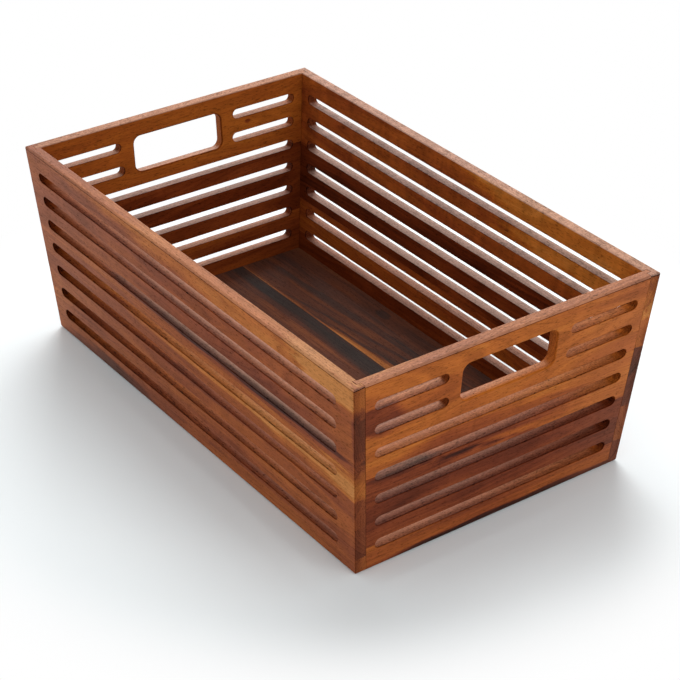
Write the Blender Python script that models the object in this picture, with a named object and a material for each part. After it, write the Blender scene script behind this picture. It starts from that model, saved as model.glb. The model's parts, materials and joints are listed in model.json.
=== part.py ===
"""Wooden crate with leaning, slotted walls, built from edge-glued boards.

The frame: +X points to the front end, +Y to the right side and +Z up. The origin is the middle of
the underside. Every wall leans outwards by the same angle. A place on a wall is given in that wall's
own frame: along it from the middle, its depth down the outer face from the rim, and its inset in from
the outer face.

The wall frame is made as the real one is. Boards are glued edge to edge into four wall panels. The
side panels are full length with a dado near each end. The end panels fit between them with a tongue
on the inner half of their thickness, which sits in those dados. The slots and hand holes are routed
square to each panel with rounded-over edges, and the floor boards sit in a rabbet round the foot of
the walls.
"""
import math
from dataclasses import dataclass

import bmesh
import bpy
import numpy as np
from mathutils import Matrix

# Driving dimensions of the wall frame, in metres and degrees
RIM_LENGTH = 0.4835          # outside, over the two end walls at the rim
RIM_WIDTH = 0.2975           # outside, over the two side walls at the rim
HEIGHT = 0.180
SPLAY_DEGREES = 4.8          # lean of every wall from upright
WALL = 0.010                 # board thickness, square to the face
JOINT_GAP = 0.0003           # clearance between pieces that touch

# Corner joint: a tongue on the end wall sits in a dado in the side wall
TONGUE_THICKNESS = 0.005
TONGUE_LENGTH = 0.0042

# Edges rounded over after glue-up
RIM_EASE = 0.001
CORNER_EASE = 0.001
BASE_EASE = 0.002
EASE_SEGMENTS = 3

# Rows of slots, spaced evenly down each wall
SLOT_COUNT = 7
SLOT_HEIGHT = 0.009
SLOT_EASE = 0.0006
SIDE_SLOT_MARGIN = 0.020     # wood left beyond a slot's tip, to the side wall's end
END_SLOT_MARGIN = 0.019      # the same on an end wall, to the outer corner
LEFT_SLOT_SHIFT = 0.0025     # the left side's slots sit this much nearer its back end

# Hand hole in each end wall, level with its first rows of slots
HAND_HOLE_ROWS = 2
HAND_HOLE_WIDTH = 0.092
HAND_HOLE_HEIGHT = 0.034
HAND_HOLE_RADIUS = 0.007
HAND_HOLE_EASE = 0.0018
HAND_HOLE_WEB = 0.0129       # wood between the hand hole and the short slots beside it

# Floor: boards along the crate, in a rabbet in the foot of the walls
FLOOR_THICKNESS = 0.005
FLOOR_LIP = 0.004            # wood left outside the rabbet at the foot
FLOOR_EASE = 0.0005
FLOOR_SEAMS = (-0.067, -0.004, 0.059)

# Glue seams, in rows of slots down from the rim, or up from the foot where negative
LEFT_SEAMS = (3.5, -2.0, -0.65)
RIGHT_SEAMS = (3.0, -2.5, -1.0)
FRONT_SEAMS = (3.0, -3.0, -1.0)
BACK_SEAMS = (3.0, -2.0)

# Smoothness of the routed outlines, and how far a cutter runs past what it cuts
ARC_SEGMENTS = 4
ROUND_OVER_SEGMENTS = 2
OVERCUT = 0.0005

# Derived sizes
SPLAY = math.radians(SPLAY_DEGREES)
FACE_HEIGHT = HEIGHT / math.cos(SPLAY)
SLOT_PITCH = FACE_HEIGHT / (SLOT_COUNT + 1)
LIP_THICKNESS = WALL - TONGUE_THICKNESS
DADO_FLOOR = WALL - TONGUE_LENGTH
FOOT_RUN = HEIGHT * math.tan(SPLAY)
MERGE_DISTANCE = 1e-6

# Wood tones, as sRGB values, with the roughness of an oiled surface
GOLDEN = (0.66, 0.41, 0.20)
REDDISH = (0.53, 0.30, 0.20)
DARK = (0.34, 0.19, 0.14)
ORANGE = (0.56, 0.29, 0.15)
CHARCOAL = (0.25, 0.15, 0.12)
OIL_ROUGHNESS = 0.42


@dataclass(frozen=True)
class Wall:
    """A leaning wall: its plan direction, how far out its rim is, its boards from the rim down, and how far
    along it its slots are shifted.
    """

    name: str
    outward: tuple
    reach: float
    half_rim: float
    seams: tuple
    boards: tuple
    slot_shift: float = 0.0


LEFT = Wall(
    name="left_side",
    outward=(0, -1),
    reach=RIM_WIDTH / 2,
    half_rim=RIM_LENGTH / 2,
    seams=LEFT_SEAMS,
    boards=(
        ("rim_board", REDDISH),
        ("upper_board", GOLDEN),
        ("lower_board", REDDISH),
        ("base_board", ORANGE),
    ),
    slot_shift=-LEFT_SLOT_SHIFT,
)
RIGHT = Wall(
    name="right_side",
    outward=(0, 1),
    reach=RIM_WIDTH / 2,
    half_rim=RIM_LENGTH / 2,
    seams=RIGHT_SEAMS,
    boards=(
        ("rim_board", REDDISH),
        ("upper_board", DARK),
        ("lower_board", GOLDEN),
        ("base_board", DARK),
    ),
)
FRONT = Wall(
    name="front_end",
    outward=(1, 0),
    reach=RIM_LENGTH / 2,
    half_rim=RIM_WIDTH / 2,
    seams=FRONT_SEAMS,
    boards=(
        ("rim_board", GOLDEN),
        ("upper_board", GOLDEN),
        ("lower_board", REDDISH),
        ("base_board", ORANGE),
    ),
)
BACK = Wall(
    name="back_end",
    outward=(-1, 0),
    reach=RIM_LENGTH / 2,
    half_rim=RIM_WIDTH / 2,
    seams=BACK_SEAMS,
    boards=(
        ("rim_board", GOLDEN),
        ("middle_board", DARK),
        ("base_board", ORANGE),
    ),
)
SIDES = (LEFT, RIGHT)
ENDS = (FRONT, BACK)


def clear_scene():
    """Removes every object that the file opened with."""
    for item in list(bpy.data.objects):
        bpy.data.objects.remove(item, do_unlink=True)


def linear(tone):
    """Turns an sRGB colour into the linear values that a shader takes."""
    return tuple(c / 12.92 if c <= 0.04045 else ((c + 0.055) / 1.055) ** 2.4 for c in tone) + (1.0,)


def wood(name, tone):
    """Oiled wood of one tone."""
    material = bpy.data.materials.new(name)
    material.use_nodes = True
    shader = material.node_tree.nodes["Principled BSDF"]
    shader.inputs["Base Color"].default_value = linear(tone)
    shader.inputs["Roughness"].default_value = OIL_ROUGHNESS
    shader.inputs["Metallic"].default_value = 0.0
    material.diffuse_color = linear(tone)
    return material


def wall_frame(wall):
    """The wall's own frame: origin at the middle of its outer rim, X along it, Y up it, Z out of it."""
    dx, dy = wall.outward
    along = (-dy, dx, 0.0)
    up = (dx * math.sin(SPLAY), dy * math.sin(SPLAY), math.cos(SPLAY))
    out = (dx * math.cos(SPLAY), dy * math.cos(SPLAY), -math.sin(SPLAY))
    rim = (dx * wall.reach, dy * wall.reach, HEIGHT)
    return Matrix((
        (along[0], up[0], out[0], rim[0]),
        (along[1], up[1], out[1], rim[1]),
        (along[2], up[2], out[2], rim[2]),
        (0.0, 0.0, 0.0, 1.0),
    ))


def inset_plane(wall, inset):
    """The plane that lies the given distance inside the wall's outer face, as a normal and an offset."""
    frame = np.array(wall_frame(wall))
    out, rim = frame[:3, 2], frame[:3, 3]
    return out, out @ rim - inset


def depth_plane(wall, depth):
    """The plane square to the wall, the given distance down its face from the rim."""
    frame = np.array(wall_frame(wall))
    up, rim = frame[:3, 1], frame[:3, 3]
    return up, up @ rim - depth


def level_plane(height):
    """The horizontal plane at the given height."""
    return np.array((0.0, 0.0, 1.0)), height


def meeting_point(*planes):
    """The point that three planes share."""
    normals, offsets = zip(*planes)
    return np.linalg.solve(np.array(normals), np.array(offsets))


def row_depth(row):
    """Depth of a slot row below the rim. A negative row counts up from the foot."""
    return SLOT_PITCH * (row if row >= 0 else SLOT_COUNT + 1 + row)


def half_span(wall, depth):
    """Half the length of the wall's outer face, at a depth below the rim."""
    return wall.half_rim - depth * math.sin(SPLAY)


def add_object(name, points, faces, parent=None):
    """Adds a closed mesh under its parent, with its faces turned outwards."""
    mesh = bpy.data.meshes.new(name)
    mesh.from_pydata([tuple(point) for point in points], [], faces)
    shape = bmesh.new()
    shape.from_mesh(mesh)
    bmesh.ops.recalc_face_normals(shape, faces=shape.faces)
    shape.to_mesh(mesh)
    shape.free()
    item = bpy.data.objects.new(name, mesh)
    bpy.context.scene.collection.objects.link(item)
    item.parent = parent
    return item


def add_guide(name, points, faces, parent=None):
    """Adds a shape that only trims or cuts the boards, and isn't a piece of the crate."""
    guide = add_object(name, points, faces, parent)
    guide.hide_render = True
    guide.display_type = "WIRE"
    return guide


def add_frame(name, matrix):
    """Adds the empty that carries one wall's boards, or the floor's."""
    empty = bpy.data.objects.new(name, None)
    bpy.context.scene.collection.objects.link(empty)
    empty.matrix_world = matrix
    return empty


def boolean(item, operation, other):
    """Adds a live Boolean with an exact solver."""
    modifier = item.modifiers.new(operation.lower() + " " + other.name, "BOOLEAN")
    modifier.operation = operation
    modifier.solver = "EXACT"
    modifier.object = other


def prism(count):
    """Faces of a prism with the given number of sides, whose second end's points follow its first's."""
    first = range(count)
    second = range(count, 2 * count)
    sides = [(i, (i + 1) % count, (i + 1) % count + count, i + count) for i in first]
    return [tuple(reversed(first)), tuple(second)] + sides


def weigh_edges(mesh, weight):
    """Gives each edge the bevel weight that weight(its two point numbers) returns."""
    layer = mesh.attributes.new("bevel_weight_edge", "FLOAT", "EDGE")
    for edge in mesh.edges:
        layer.data[edge.index].value = weight(*edge.vertices)


def ease_edges(item, width):
    """Rounds the weighted edges over, by a width that the weights scale."""
    bevel = item.modifiers.new("eased edges", "BEVEL")
    bevel.limit_method = "WEIGHT"
    bevel.width = width
    bevel.segments = EASE_SEGMENTS
    bevel.use_clamp_overlap = False


def shell_guide():
    """The four walls in one piece, before they are divided: a leaning tub with eased edges.

    The tub's bottom lies wholly in the space that the floor's rabbet takes out.
    """
    corners = ((LEFT, FRONT), (RIGHT, FRONT), (RIGHT, BACK), (LEFT, BACK))
    rings = ((0.0, HEIGHT), (WALL, HEIGHT), (WALL, FLOOR_THICKNESS / 2), (0.0, 0.0))
    outer_rim, inner_rim, inner_foot, outer_foot = range(len(rings))
    points = [
        meeting_point(inset_plane(side, inset), inset_plane(end, inset), level_plane(height))
        for inset, height in rings
        for side, end in corners
    ]
    count = len(corners)
    faces = [tuple(range(ring * count, (ring + 1) * count)) for ring in (inner_foot, outer_foot)]
    for ring, next_ring in ((outer_rim, inner_rim), (inner_rim, inner_foot), (outer_foot, outer_rim)):
        above, below = ring * count, next_ring * count
        for corner in range(count):
            following = (corner + 1) % count
            faces.append((above + corner, above + following, below + following, below + corner))
    shell = add_guide("shell_guide", points, faces)
    widest = max(RIM_EASE, CORNER_EASE, BASE_EASE)

    def weight(first, second):
        """Rim edges, outer corners and the outer foot are eased. The inner corners and bottom aren't."""
        rings_met = {first // count, second // count}
        width = 0.0
        if rings_met in ({outer_rim}, {inner_rim}):
            width = RIM_EASE
        elif rings_met == {outer_rim, outer_foot}:
            width = CORNER_EASE
        elif rings_met == {outer_foot}:
            width = BASE_EASE
        return width / widest

    weigh_edges(shell.data, weight)
    ease_edges(shell, widest)
    return shell


def rounded_outline(low, high, radius, grown):
    """A rectangle with round corners, grown all round by the given distance, as a loop of points.

    Each corner is a quarter circle about its own centre. A slot is the case where the radius is half the
    height, so that two centres meet and their shared point is kept once.
    """
    centres = (
        (high[0] - radius, high[1] - radius),
        (low[0] + radius, high[1] - radius),
        (low[0] + radius, low[1] + radius),
        (high[0] - radius, low[1] + radius),
    )
    loop = []
    for turn, centre in enumerate(centres):
        angles = math.pi / 2 * (turn + np.linspace(0.0, 1.0, ARC_SEGMENTS + 1))
        arc = np.stack((np.cos(angles), np.sin(angles)), axis=1) * (radius + grown) + np.array(centre)
        loop.append(arc)
    loop = np.concatenate(loop)
    apart = np.linalg.norm(loop - np.roll(loop, 1, axis=0), axis=1)
    return loop[apart > MERGE_DISTANCE]


def round_over(ease):
    """The router's profile through a wall, as pairs of inset and growth.

    From each face a quarter round of the given radius leads into the straight part. Its last step runs on
    past the face along its own slope.
    """
    angles = math.pi / 2 * np.linspace(0.0, 1.0, ROUND_OVER_SEGMENTS + 1)
    inset = ease * (1.0 - np.sin(angles))
    growth = ease * (1.0 - np.cos(angles))
    slope = (growth[-1] - growth[-2]) / (inset[-2] - inset[-1])
    inset[-1] = -OVERCUT
    growth[-1] = ease + slope * OVERCUT
    outer = list(zip(inset[::-1], growth[::-1]))
    inner = [(WALL - depth, grown) for depth, grown in reversed(outer)]
    return outer + inner


def hole_cutter(low, high, radius, ease):
    """Points and ring size of one routed hole: its outline carried through the wall along the profile."""
    rings = []
    for inset, growth in round_over(ease):
        loop = rounded_outline(low, high, radius, growth)
        depth = np.full((len(loop), 1), -inset)
        rings.append(np.hstack((loop, depth)))
    return np.concatenate(rings), len(rings[0])


def slot_boxes(wall):
    """The slots of one wall, row by row, as their low and high corners in the wall's frame."""
    margin = SIDE_SLOT_MARGIN if wall in SIDES else END_SLOT_MARGIN
    boxes = []
    for row in range(1, SLOT_COUNT + 1):
        depth = row_depth(row)
        low, high = -depth - SLOT_HEIGHT / 2, -depth + SLOT_HEIGHT / 2
        tip = half_span(wall, depth) - margin
        if wall in ENDS and row <= HAND_HOLE_ROWS:
            inner = HAND_HOLE_WIDTH / 2 + HAND_HOLE_WEB + (hand_hole_depth() - depth) * math.sin(SPLAY)
            boxes.append(((-tip, low), (-inner, high)))
            boxes.append(((inner, low), (tip, high)))
        else:
            boxes.append(((wall.slot_shift - tip, low), (wall.slot_shift + tip, high)))
    return boxes


def hand_hole_depth():
    """Depth of the hand hole's middle: half way down the rows that it interrupts."""
    return row_depth((1 + HAND_HOLE_ROWS) / 2)


def router_guide(wall, frame):
    """All of one wall's slots, and an end wall's hand hole, as one set of cutters."""
    holes = [hole_cutter(low, high, SLOT_HEIGHT / 2, SLOT_EASE) for low, high in slot_boxes(wall)]
    if wall in ENDS:
        across, depth, rise = HAND_HOLE_WIDTH / 2, hand_hole_depth(), HAND_HOLE_HEIGHT / 2
        low, high = (-across, -depth - rise), (across, -depth + rise)
        holes.append(hole_cutter(low, high, HAND_HOLE_RADIUS, HAND_HOLE_EASE))
    points, faces = [], []
    for hole, count in holes:
        start = len(points)
        rings = len(hole) // count
        points.extend(hole)
        faces.append(tuple(range(start, start + count)))
        faces.append(tuple(range(start + (rings - 1) * count, start + rings * count)))
        for ring in range(rings - 1):
            near, far = start + ring * count, start + (ring + 1) * count
            for i in range(count):
                following = (i + 1) % count
                faces.append((near + i, near + following, far + following, far + i))
    return add_guide(wall.name + "_router_guide", points, faces, frame)


def both_ends(half, first, last):
    """Repeats one end's outline at a board's other end. A point is its inset from each of the two walls."""
    near = [(own, last, other) for own, other in half]
    far = [(own, first, other) for own, other in reversed(half)]
    return near + far


def side_outline(first, last):
    """Plan of a side board: its lips reach round the end walls, and a dado behind each takes a tongue."""
    past_wall = WALL + OVERCUT
    dado_end = WALL + JOINT_GAP / 2
    half = (
        (-OVERCUT, -OVERCUT),
        (WALL, -OVERCUT),
        (WALL, LIP_THICKNESS),
        (DADO_FLOOR, LIP_THICKNESS),
        (DADO_FLOOR, dado_end),
        (past_wall, dado_end),
    )
    return both_ends(half, first, last)


def end_outline(first, last):
    """Plan of an end board: its outer half butts the side walls' lips, and its tongues fill the dados."""
    past_wall = WALL + OVERCUT
    shoulder = WALL + JOINT_GAP
    tongue_face, tongue_back = LIP_THICKNESS + JOINT_GAP, WALL - JOINT_GAP / 2
    tongue_end = DADO_FLOOR + JOINT_GAP
    half = (
        (-OVERCUT, shoulder),
        (tongue_face, shoulder),
        (tongue_face, tongue_end),
        (tongue_back, tongue_end),
        (tongue_back, shoulder),
        (past_wall, shoulder),
    )
    return both_ends(half, first, last)


def board_depths(wall):
    """Top and bottom depth of each of the wall's boards. Half a joint gap is left at each glue seam."""
    seams = [row_depth(row) for row in wall.seams]
    past_foot = FACE_HEIGHT + WALL * math.tan(SPLAY) + 2 * OVERCUT
    tops = [-2 * OVERCUT] + [seam + JOINT_GAP / 2 for seam in seams]
    bottoms = [seam - JOINT_GAP / 2 for seam in seams] + [past_foot]
    return list(zip(tops, bottoms))


def board_blank(wall, depths, frame, name):
    """The sawn blank of one board: its plan outline between two planes that are square to the wall."""
    neighbours = ENDS if wall in SIDES else SIDES
    outline = side_outline(*neighbours) if wall in SIDES else end_outline(*neighbours)
    to_frame = np.array(wall_frame(wall).inverted())
    points = []
    for depth in depths:
        for own, neighbour, other in outline:
            planes = inset_plane(wall, own), inset_plane(neighbour, other), depth_plane(wall, depth)
            world = meeting_point(*planes)
            points.append(to_frame[:3, :3] @ world + to_frame[:3, 3])
    return add_object(name, points, prism(len(outline)), frame)


def floor_half_sizes():
    """Half the length and width of the floor panel, inside the lip that the walls' rabbet leaves."""
    inside = FOOT_RUN + FLOOR_LIP + JOINT_GAP
    return RIM_LENGTH / 2 - inside, RIM_WIDTH / 2 - inside


def box_points(low, high):
    """The corners of an upright box: four below, then four above."""
    plan = ((low[0], low[1]), (high[0], low[1]), (high[0], high[1]), (low[0], high[1]))
    return [(x, y, z) for z in (low[2], high[2]) for x, y in plan]


def rabbet_guide():
    """The space that the floor panel takes out of the foot of the walls."""
    half_length, half_width = floor_half_sizes()
    low = (-half_length - JOINT_GAP, -half_width - JOINT_GAP, -OVERCUT)
    high = (half_length + JOINT_GAP, half_width + JOINT_GAP, FLOOR_THICKNESS + JOINT_GAP)
    return add_guide("rabbet_guide", box_points(low, high), prism(4))


def panel_guide():
    """The floor panel in one piece, eased round its underside and its four upright corners."""
    half_length, half_width = floor_half_sizes()
    points = box_points((-half_length, -half_width, 0.0), (half_length, half_width, FLOOR_THICKNESS))
    panel = add_guide("panel_guide", points, prism(4))
    weigh_edges(panel.data, lambda first, second: 1.0 if min(first, second) < 4 else 0.0)
    ease_edges(panel, FLOOR_EASE)
    return panel


def build_wall(wall, shell, rabbet):
    """Glues up one wall: each board is its blank, trimmed to the frame, rabbeted and routed."""
    frame = add_frame(wall.name, wall_frame(wall))
    router = router_guide(wall, frame)
    for (label, tone), depths in zip(wall.boards, board_depths(wall)):
        name = wall.name + "_" + label
        board = board_blank(wall, depths, frame, name)
        board.data.materials.append(wood(name + " oiled wood", tone))
        boolean(board, "INTERSECT", shell)
        if depths[1] > FACE_HEIGHT - 2 * FLOOR_THICKNESS:
            boolean(board, "DIFFERENCE", rabbet)
        boolean(board, "DIFFERENCE", router)


def build_floor():
    """Lays the floor boards side by side, each a strip of the floor panel."""
    frame = add_frame("floor", Matrix.Identity(4))
    panel = panel_guide()
    half_length, half_width = floor_half_sizes()
    lows = [-half_width - OVERCUT] + [seam + JOINT_GAP / 2 for seam in FLOOR_SEAMS]
    highs = [seam - JOINT_GAP / 2 for seam in FLOOR_SEAMS] + [half_width + OVERCUT]
    for number, (low, high) in enumerate(zip(lows, highs), start=1):
        name = f"floor_board_{number}"
        low_corner = (-half_length - OVERCUT, low, -OVERCUT)
        high_corner = (half_length + OVERCUT, high, FLOOR_THICKNESS + OVERCUT)
        board = add_object(name, box_points(low_corner, high_corner), prism(4), frame)
        board.data.materials.append(wood(name + " oiled wood", CHARCOAL))
        boolean(board, "INTERSECT", panel)


def main():
    """Builds the crate."""
    clear_scene()
    shell = shell_guide()
    rabbet = rabbet_guide()
    for wall in SIDES + ENDS:
        build_wall(wall, shell, rabbet)
    build_floor()


main()
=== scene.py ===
"""Dressed scene of an open wooden crate: its boards, the studio round it and the camera.

Everything is in metres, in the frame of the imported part: +X points to the crate's front end, +Y to its
right side and +Z up, and the origin is the middle of the underside. A place on a wall is given in the
wall's own terms: along it from its middle, its depth down the outer face from the rim, and its inset in
from the outer face. Numbers that dress the wood are in millimetres, because its figure is that fine.
"""
import json
import logging
import math
from collections.abc import Mapping
from dataclasses import astuple, dataclass, field, replace
from enum import Enum
from functools import cached_property

import bmesh
import bpy
import numpy as np
from mathutils import Euler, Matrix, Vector

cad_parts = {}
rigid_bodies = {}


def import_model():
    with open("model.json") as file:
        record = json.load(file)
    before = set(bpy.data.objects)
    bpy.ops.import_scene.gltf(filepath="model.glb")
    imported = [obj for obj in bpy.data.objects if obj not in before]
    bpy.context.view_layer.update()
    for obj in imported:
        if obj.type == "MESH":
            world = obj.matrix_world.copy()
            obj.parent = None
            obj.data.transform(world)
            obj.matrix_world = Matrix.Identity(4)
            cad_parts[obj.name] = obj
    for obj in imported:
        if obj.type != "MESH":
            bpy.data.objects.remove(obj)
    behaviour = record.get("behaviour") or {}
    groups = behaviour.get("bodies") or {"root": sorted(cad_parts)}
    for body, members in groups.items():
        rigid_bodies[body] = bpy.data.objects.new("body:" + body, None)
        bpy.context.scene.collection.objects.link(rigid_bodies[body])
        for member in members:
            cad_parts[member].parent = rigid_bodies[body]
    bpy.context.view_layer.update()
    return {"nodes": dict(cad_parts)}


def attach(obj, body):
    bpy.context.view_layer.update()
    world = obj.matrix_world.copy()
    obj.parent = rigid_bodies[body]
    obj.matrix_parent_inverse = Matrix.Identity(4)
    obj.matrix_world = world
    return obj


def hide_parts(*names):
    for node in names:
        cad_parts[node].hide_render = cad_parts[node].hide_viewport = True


LOG = logging.getLogger("wooden_crate")
MILLIMETRES = 1000.0
PLACE_ATTRIBUTE = "board_place"
SOLE_BODY = "root"
# Points closer than this are one point, in a new shape and in a board that was cut.
NEW_MERGE = 1e-7
CUT_MERGE = 2e-6
# Edges shorter than this are left over from a cut.
SHORTEST_EDGE = 1e-6
SHARP_ANGLE = math.radians(38.0)
FLAT_FACE_WEIGHT = 100
# A distance in millimetres past the end of every board, for those without slots: no painted shadow reaches
# them.
NO_SHADOW = 1000.0
QUARTER = math.pi / 2
# Corners of a square, counted round from its low corner.
SQUARE = np.array(((-1, -1), (1, -1), (1, 1), (-1, 1)))
FIGURE_INPUTS = (
    "Along", "Depth", "Inset", "Pigment", "Contrast", "Pith depth", "Pith inset", "Taper", "Seed",
    "End grain", "End dark", "Routed", "Pale and lit", "Painted sheen", "Shade", "Curl",
)
# The last six are a stain's own values, in the order of its fields.
STAIN_INPUTS = (
    "Pigment", "Along", "Depth", "Fray", "Middle along", "Middle depth", "Half length", "Half height",
    "Change", "Slant",
)

Points = np.ndarray
Faces = list[tuple[int, ...]]
Plane = tuple[np.ndarray, float]
Colour = tuple[float, float, float, float]
Socket = bpy.types.NodeSocket
Sockets = Mapping[str, Socket]


class WallKind(Enum):
    """Which pair a wall belongs to."""

    SIDE = "side"
    END = "end"


class Cut(Enum):
    """What a guide does to a board, by the name of the Boolean operation."""

    TRIM = "INTERSECT"
    REMOVE = "DIFFERENCE"


@dataclass(frozen=True)
class CrateSizes:
    """The crate's sizes and the fineness of its outlines.

    An ease is the radius of a rounded edge, and the steps are the chords that it has. A margin is how
    far the slots stop short of the rim's ends, and the web is the wood between a slot and the hand hole.
    Guides reach past the faces that they cut by the overcut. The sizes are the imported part's, but for
    the outer rim's ease, the joint line and the glue line, which are as the photograph shows them.
    """

    rim_length: float = 0.4835
    rim_width: float = 0.2975
    height: float = 0.180
    splay: float = math.radians(4.8)
    wall: float = 0.010
    tongue_thickness: float = 0.005
    tongue_length: float = 0.0042
    joint_line: float = 0.00032
    glue_line: float = 0.00003
    rim_ease: float = 0.001
    outer_rim_ease: float = 0.0018
    corner_ease: float = 0.001
    base_ease: float = 0.002
    ease_steps: int = 5
    slot_count: int = 7
    slot_height: float = 0.009
    slot_ease: float = 0.0006
    side_slot_margin: float = 0.020
    end_slot_margin: float = 0.019
    left_slot_shift: float = 0.0025
    hand_hole_rows: int = 2
    hand_hole_width: float = 0.092
    hand_hole_height: float = 0.034
    hand_hole_radius: float = 0.007
    hand_hole_ease: float = 0.0018
    hand_hole_web: float = 0.0129
    hand_hole_clear: float = 0.002
    floor_thickness: float = 0.005
    floor_lip: float = 0.004
    floor_gap: float = 0.0003
    floor_ease: float = 0.0005
    arc_steps: int = 9
    round_over_steps: int = 5
    overcut: float = 0.0003

    @property
    def face_height(self) -> float:
        """Height of a wall's outer face, measured up its slope."""
        return self.height / math.cos(self.splay)

    @property
    def pitch(self) -> float:
        """Distance between two rows of slots."""
        return self.face_height / (self.slot_count + 1)

    @property
    def lip(self) -> float:
        """Thickness of a side wall's lip in front of a tongue."""
        return self.wall - self.tongue_thickness

    @property
    def dado_floor(self) -> float:
        """Inset of the bottom of a side wall's dado."""
        return self.wall - self.tongue_length

    def row_depth(self, row: float) -> float:
        """Depth of a slot row below the rim. A negative row counts up from the foot.

        Args:
            row: The row, which may lie between two slots.

        Returns:
            The depth down the outer face.
        """
        return self.pitch * (row if row >= 0 else self.slot_count + 1 + row)

    def floor_halves(self) -> tuple[float, float]:
        """Half the length and width of the floor panel, inside the lip that the rabbet leaves."""
        inside = self.height * math.tan(self.splay) + self.floor_lip + self.floor_gap
        return self.rim_length / 2 - inside, self.rim_width / 2 - inside

    def measures(self) -> "Measures":
        """The sizes that the finish goes by, in millimetres.

        Returns:
            The sizes.
        """
        slots_from = self.hand_hole_width / 2 + self.hand_hole_ease + self.hand_hole_clear
        return Measures(wall=self.wall * MILLIMETRES, lean=math.tan(self.splay),
                        sawn_from=(self.rim_length / 2 - self.wall) * MILLIMETRES,
                        slots_from=slots_from * MILLIMETRES)


@dataclass(frozen=True)
class Guide:
    """A closed shape that trims or cuts boards and is then thrown away.

    Attributes:
        item: The object of the shape.
        cut: What it does to a board.
    """

    item: bpy.types.Object
    cut: Cut


def closed_tube(ring_count: int, ring_size: int, capped: bool) -> Faces:
    """Faces of a grid of points that closes round each ring.

    Face (i, j) joins points j and j + 1 of ring i to the same two of ring i + 1, both counted round.

    Args:
        ring_count: Number of rings.
        ring_size: Number of points in each ring.
        capped: Whether the first and last rings are closed with flat faces, instead of joined.

    Returns:
        The faces, as tuples of point numbers.
    """
    bands = ring_count - 1 if capped else ring_count
    ring, step = np.meshgrid(np.arange(bands), np.arange(ring_size), indexing="ij")
    following = (step + 1) % ring_size
    next_ring = (ring + 1) % ring_count
    quads = np.stack((ring * ring_size + step, ring * ring_size + following,
                      next_ring * ring_size + following, next_ring * ring_size + step), axis=-1)
    faces = [tuple(quad) for quad in quads.reshape(-1, 4).tolist()]
    if capped:
        first = tuple(range(ring_size - 1, -1, -1))
        last = tuple(range((ring_count - 1) * ring_size, ring_count * ring_size))
        faces += [first, last]
    return faces


def new_item(name: str, points: Points, faces: Faces) -> bpy.types.Object:
    """Adds a closed mesh to the scene, with its doubles merged and its faces turned outwards.

    Args:
        name: Name of the object and its mesh.
        points: Corner points, one row each.
        faces: Faces, as tuples of point numbers.

    Returns:
        The new object.
    """
    mesh = bpy.data.meshes.new(name)
    mesh.from_pydata(points.tolist(), [], faces)
    shape = bmesh.new()
    shape.from_mesh(mesh)
    bmesh.ops.remove_doubles(shape, verts=shape.verts, dist=NEW_MERGE)
    bmesh.ops.recalc_face_normals(shape, faces=shape.faces)
    shape.to_mesh(mesh)
    shape.free()
    item = bpy.data.objects.new(name, mesh)
    bpy.context.scene.collection.objects.link(item)
    return item


def new_prism(name: str, plan: Points, levels: tuple[float, float]) -> bpy.types.Object:
    """Adds an upright prism to the scene: its plan carried from one level to another.

    Args:
        name: Name of the object and its mesh.
        plan: Corners of the plan, one row each.
        levels: Heights of its two ends.

    Returns:
        The new object.
    """
    points = np.concatenate([np.column_stack((plan, np.full(len(plan), level))) for level in levels])
    return new_item(name, points, closed_tube(len(levels), len(plan), capped=True))


def rounded_rectangle(low: Points, high: Points, radius: float, grown: float, steps: int) -> Points:
    """A rectangle with round corners, grown all round, as a closed loop of points.

    Point (turn, i) is the centre of corner number turn plus (radius + grown) times the cosine and sine
    of the angle turn * 90 degrees + i / steps * 90 degrees.

    Args:
        low: Low corner of the rectangle before it is grown.
        high: High corner of it.
        radius: Corner radius before it is grown.
        grown: Distance that it grows by.
        steps: Number of chords in each quarter circle.

    Returns:
        The loop, one point a row.
    """
    centres = np.array((
        (high[0] - radius, high[1] - radius),
        (low[0] + radius, high[1] - radius),
        (low[0] + radius, low[1] + radius),
        (high[0] - radius, low[1] + radius),
    ))
    angles = QUARTER * (np.arange(len(centres))[:, None] + np.linspace(0.0, 1.0, steps + 1)[None, :])
    arcs = np.stack((np.cos(angles), np.sin(angles)), axis=-1) * (radius + grown)
    return (centres[:, None, :] + arcs).reshape(-1, 2)


@dataclass(frozen=True)
class Board:
    """One board of a wall, or of the floor.

    Attributes:
        label: Its name after the wall's.
        slot: The name of a material slot in the record. It is not used.
        timber: How its wood looks.
    """

    label: str
    slot: str
    timber: "Timber"


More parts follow.
